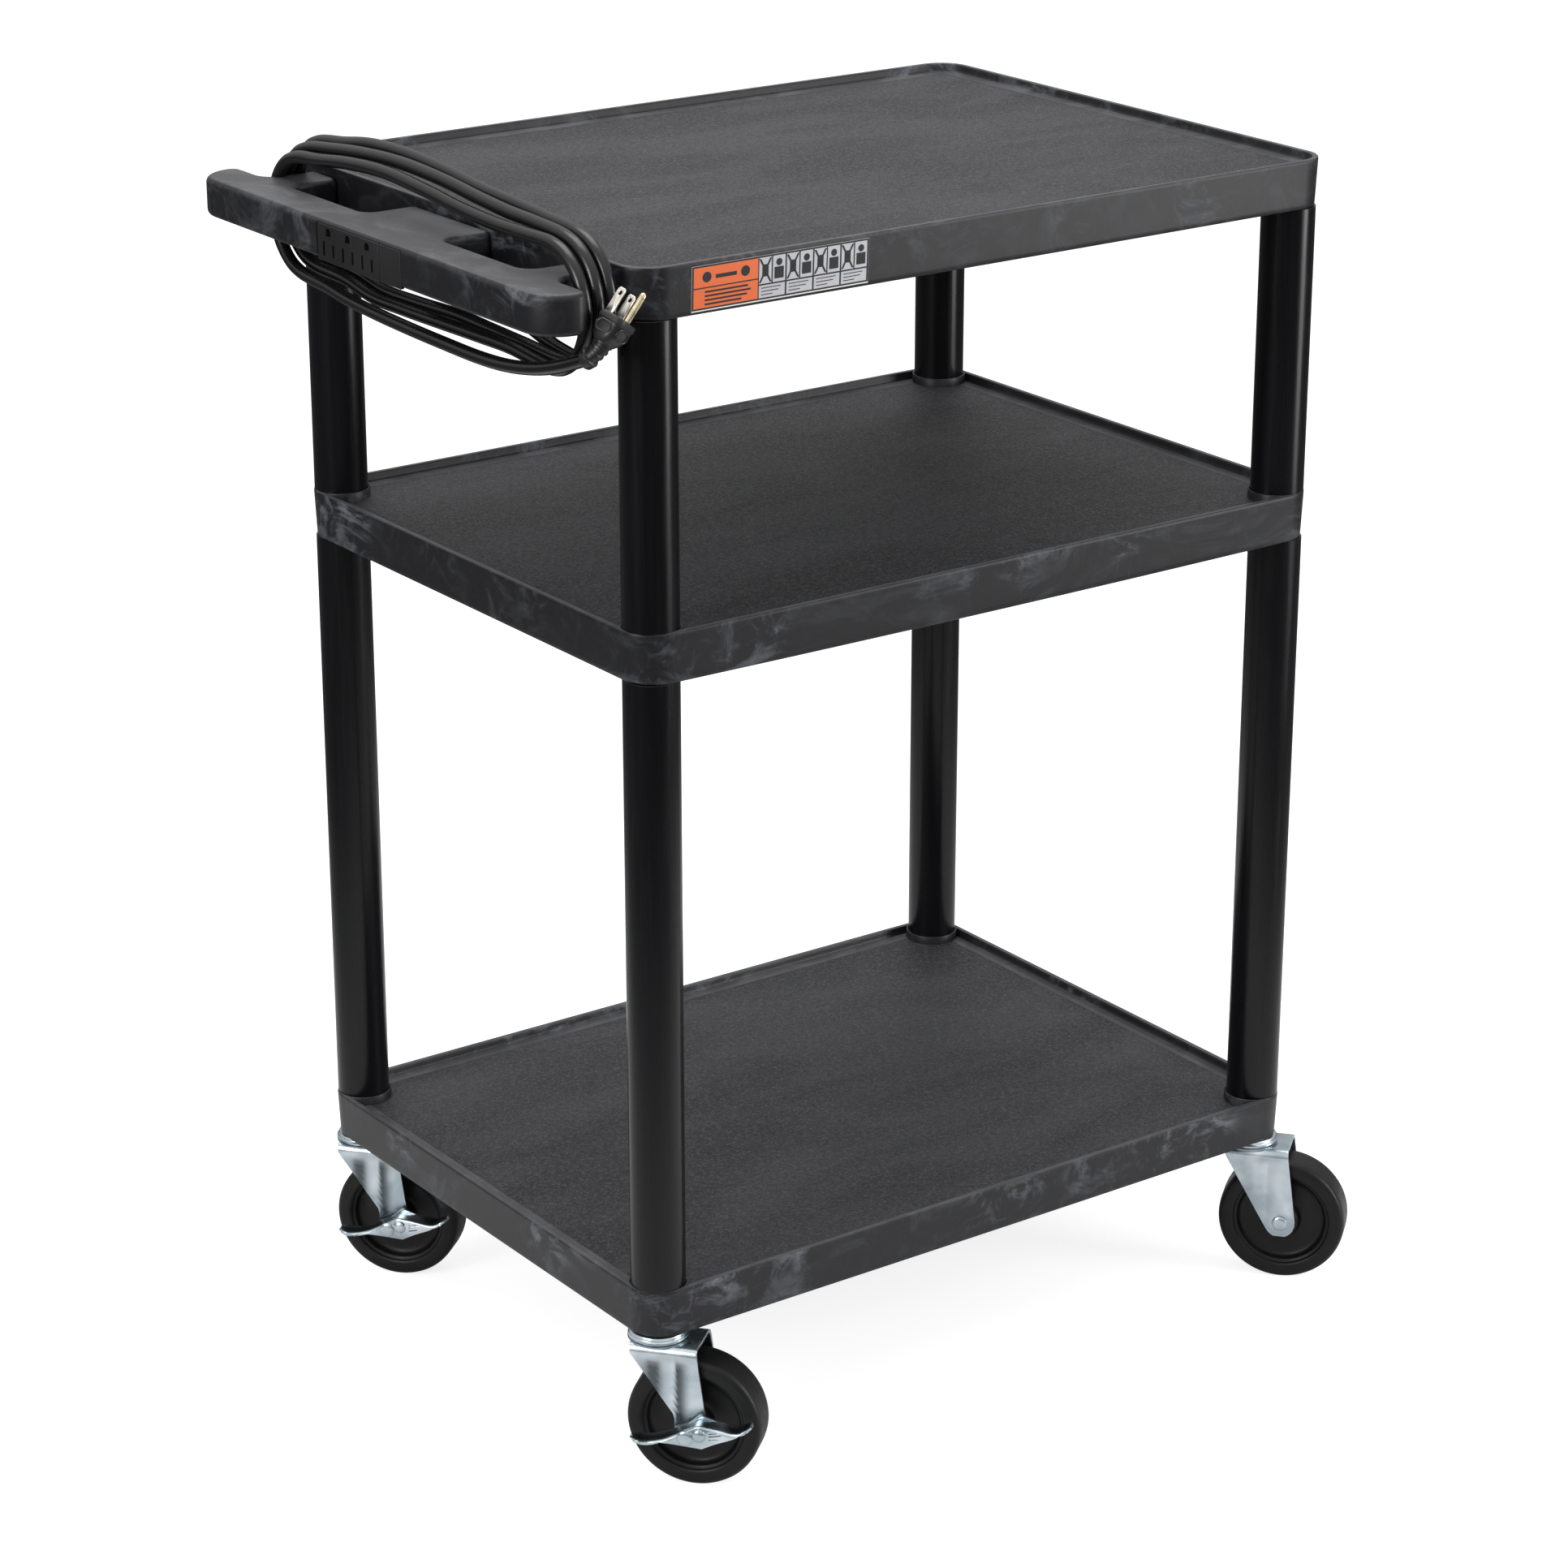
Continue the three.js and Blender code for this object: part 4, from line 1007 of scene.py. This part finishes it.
def make_lever(name, frame_matrix):
    """Bow-tie brake lever: two narrow foot pads, joined by a diamond face that folds up over the pivot."""
    middle, half, face_middle = 4.0, 46.0, 7.0
    pad_y, pad_half, round_off = -30.5, 6.3, 6.6
    stations = [-46, -45.7, -44.8, -43.4, -41.5, -39, -36, -33, -29, -25, -21, -17, -13, -9, -5, -1, 2, 4.5, 7,
                9.5, 12, 15, 19, 23, 27, 31, 35, 38, 40.5, 42.6, 44.2, 45.3, 45.8, 46]
    loops, painted_shade = [], []
    for x in stations:
        away = abs(x)
        off = abs(x - face_middle)
        spread = 1.0
        if away > half - round_off:
            spread = math.sqrt(max(0.02, round_off ** 2 - (away - half + round_off) ** 2)) / round_off
        front = pad_y - pad_half * spread
        back = pad_y + pad_half * spread
        line = -1.2 * bump_at(away, 31, 9) + 2.6 * max(0, (away - 38) / 8)
        fold = 8.0 * max(0.0, 1 - off / 27) ** 1.1
        drop = fold + 8.4 * max(0.0, 1 - off / 31) ** 1.05
        rear = 4.0 * max(0.0, 1 - off / 14)
        lift, lip = line + fold, 0.8
        section = [(back, lift + rear), (back, lift + rear * 0.5), (back, lift + 0.4), (back - 0.7, lift),
                   (pad_y + 2, lift - 0.15), (pad_y - 2, lift - 0.15), (front + 1.2, lift),
                   (front + 0.3, lift - 0.3), (front, lift - lip), (front - 0.1, lift - lip - drop * 0.5),
                   (front - 0.1, lift - lip - drop)]
        # painted dark reflection of the wheel on the upper faces of the foot pads, row by row across the
        # section
        pad_reflection = 0.85 * smooth_step(off, 14, 24)
        reflection_across = [0, 0, 0.2, 0.5, 1, 1, 0.75, 0, 0, 0, 0]
        painted_shade += [shade * pad_reflection for shade in reflection_across]
        loops.append([(middle + x, y, z) for y, z in section])
    sheet = Shape()
    sheet.loops(loops, False, False, False)
    place = frame_matrix @ brake_matrix()
    obj = build(name, sheet, ZINC, place, 60, painted_shade)
    thicken(obj, 1.8)
    soften(obj, 0.4, 2, 60, 45)
    # short grooves either side of the bump in the face
    slots = Shape()
    centre = middle + face_middle
    for side in (-1, 1):
        for low, near, far in ((1.6, 8, 14.5), (-0.4, 7.5, 17), (-3.0, 7, 14)):
            x0, x1 = sorted((centre + side * near, centre + side * far))
            slots.box(x0, x1, -40.5, -36.4, low, low + 0.9)
    return cut(obj, build("slots", slots, SLOT, place), 45)


def make_boss(name, frame_matrix):
    """The domed bump pressed in the middle of the lever's face."""
    turn = Matrix.Translation((11.0, 0, 1.4)) @ Matrix.Rotation(math.radians(90), 4, "X")
    profile = [(5.4, 35.8), (5.4, 37.4), (4.9, 38.4), (3.6, 39.4), (1.8, 39.9), (0.3, 40.0)]
    return turned(name, ZINC, frame_matrix @ brake_matrix(), profile, 40, True, turn)


def make_cup(name, frame_matrix):
    profile = [(5.8, 3.2), (18.6, 3.2), (19.3, 2.6), (19.6, 1.3), (20.8, 0.9), (22.0, 1.3), (22.4, 2.2),
               (22.2, 3.0), (21.2, 3.6), (20.9, 4.2), (21.0, 5.2), (20.4, 6.0), (19.7, 6.2), (5.8, 6.2)]
    return turned(name, ZINC, frame_matrix, [(radius, PLATE_TOP + z) for radius, z in profile], 72, False)


def make_race(name, frame_matrix):
    profile = [(11, 0.1), (11.2, 0.7), (12.2, 0.9), (19.0, 0.8), (19.2, 0.5), (21.4, 0.35), (22.4, 0.05),
               (22.5, -0.4)]
    return turned(name, ZINC, frame_matrix, [(radius, PLATE_TOP + z) for radius, z in profile], 72, False)


def make_bolt(name, frame_matrix, head_face):
    profile = [(3.9, -FORK_OUTER - 6.6), (4.0, -FORK_OUTER - 6), (4.0, head_face), (6.0, head_face),
               (6.0, head_face + 0.5), (5.4, head_face + 1.2), (4.0, head_face + 1.7), (2.0, head_face + 1.95),
               (0.4, head_face + 2.0)]
    return turned(name, ZINC, frame_matrix, profile, 48, True, axle_matrix())


def make_nut(name, frame_matrix):
    shape = Shape()
    turn = axle_matrix(-90)
    hexagon = [(7.4 * math.cos(a), 7.4 * math.sin(a)) for a in ring_angles(6)]
    levels = [(0.9, 20.8), (1.0, 21.3), (1.0, 25.6), (0.88, 26.3)]
    shape.loops([[tuple(turn @ Vector((x * s, y * s, z))) for x, y in hexagon] for s, z in levels])
    return build(name, shape, ZINC, frame_matrix)


def make_stem(name, frame_matrix):
    profile = [(1, 104.6), (7.5, 104.7), (8.8, 105.2), (9, 106), (9, 108.1), (5.5, 108.2), (5.5, 148.5),
               (4.6, 150.6), (3.4, 151.8)]
    return turned(name, ZINC, frame_matrix, profile, 40)


for corner, (cx, cy) in CORNERS.items():
    place = Matrix.Translation((cx, cy, 0)) @ Matrix.Rotation(CASTER_TURN, 4, "Z")
    braked = corner in BRAKED
    carrier, brake, zinc = f"caster_{corner}", f"brake_{corner}", "caster_zinc"
    cup, stem, fork, bolt, nut, wheel, lever = (f"{kind}_{corner}" for kind in (
        "swivel_cup", "caster_stem", "caster_fork", "axle_bolt", "axle_nut", "caster_wheel", "brake_lever"))
    head_face = (BRAKE_REACH if braked else FORK_OUTER) + 0.3
    install(make_cup(cup, place), ROOT, zinc, cup)
    install(make_stem(stem, place), ROOT, zinc, stem)
    install(make_fork(fork, place, braked), carrier, zinc, fork)
    install(make_race(f"lower_race_{corner}", place), carrier, zinc)
    install(make_bolt(bolt, place, head_face), carrier, zinc, bolt)
    install(make_nut(nut, place), carrier, zinc, nut)
    install(make_wheel(wheel, place), f"wheel_{corner}", "wheel_plastic", wheel)
    if braked:
        install(make_lever(lever, place), brake, zinc, lever)
        install(make_boss(f"brake_boss_{corner}", place), brake, zinc)

# pieces that stay as the CAD made them, inside the outlet and the casters
for node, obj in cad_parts.items():
    if not obj.hide_render:
        obj.data.materials.clear()
        obj.data.materials.append(BRASS if node.startswith("contact") else STEEL)


# ---------------- floor and light
def make_stage():
    """A white floor to the eye. What the object reflects of it is a pool of light that fades with distance."""
    n = Nodes("floor_white")
    x, y, _ = n.axes(n.position)
    far = n.math("SQRT", n.math("ADD", n.math("MULTIPLY", x, x), n.math("MULTIPLY", y, y)))
    pool = n.remap(far, 0.45, 1.5, 0.8, 0.1)
    seen = n.add("ShaderNodeLightPath").outputs["Is Camera Ray"]
    speck = n.noise(n.position, 3.0, 2.0)
    white = n.mix(speck, (0.42, 0.42, 0.42, 1), (0.44, 0.44, 0.44, 1))
    tone = n.mix(seen, n.mix(pool, (0, 0, 0, 1), (1, 1, 1, 1)), white)
    n.finish(tone, 0.7, 0.0, None, 0.0)
    n.shader.inputs["Emission Color"].default_value = (1, 1, 1, 1)
    n.link(n.math("MULTIPLY", seen, 0.8), n.shader.inputs["Emission Strength"])
    mesh = bpy.data.meshes.new("floor")
    size = 30
    corners = [(-size, -size, 0), (size, -size, 0), (size, size, 0), (-size, size, 0)]
    mesh.from_pydata(corners, [], [(0, 1, 2, 3)])
    mesh.materials.append(n.material)
    add_object("floor", mesh)


def area_light(name, place, target, size, energy):
    data = bpy.data.lights.new(name, "AREA")
    data.shape = "RECTANGLE"
    data.size, data.size_y = size
    data.energy = energy
    aim(add_object(name, data), place, Vector(target) - Vector(place))


def make_light():
    """A sky that is brighter overhead, plain white to the eye, and three soft lights."""
    world = bpy.data.worlds.new("studio")
    world.use_nodes = True
    tree = world.node_tree
    background = tree.nodes["Background"]
    ray = tree.nodes.new("ShaderNodeTexCoord")
    split = tree.nodes.new("ShaderNodeSeparateXYZ")
    ramp = tree.nodes.new("ShaderNodeMapRange")
    seen = tree.nodes.new("ShaderNodeLightPath")
    strength = tree.nodes.new("ShaderNodeMath")
    strength.operation = "MAXIMUM"
    tree.links.new(ray.outputs["Generated"], split.inputs[0])
    tree.links.new(split.outputs[2], ramp.inputs["Value"])
    set_range(ramp, 0.0, 0.9, 0.29, 1.15)
    tree.links.new(ramp.outputs[0], strength.inputs[0])
    tree.links.new(seen.outputs["Is Camera Ray"], strength.inputs[1])
    tree.links.new(strength.outputs[0], background.inputs["Strength"])
    background.inputs["Color"].default_value = (1, 1, 1, 1)
    bpy.context.scene.world = world
    area_light("right_strip", (1.75, -2.05, 0.95), (0, 0, 0.5), (0.8, 1.9), 44)
    area_light("left_card", (-2.7, -0.5, 1.5), (0, 0, 0.5), (1.0, 1.6), 40)
    area_light("top", (0.1, 0.5, 3.2), (0, 0, 0.6), (2.2, 1.6), 34)


make_stage()
make_light()
bpy.context.scene.view_settings.view_transform = "Standard"
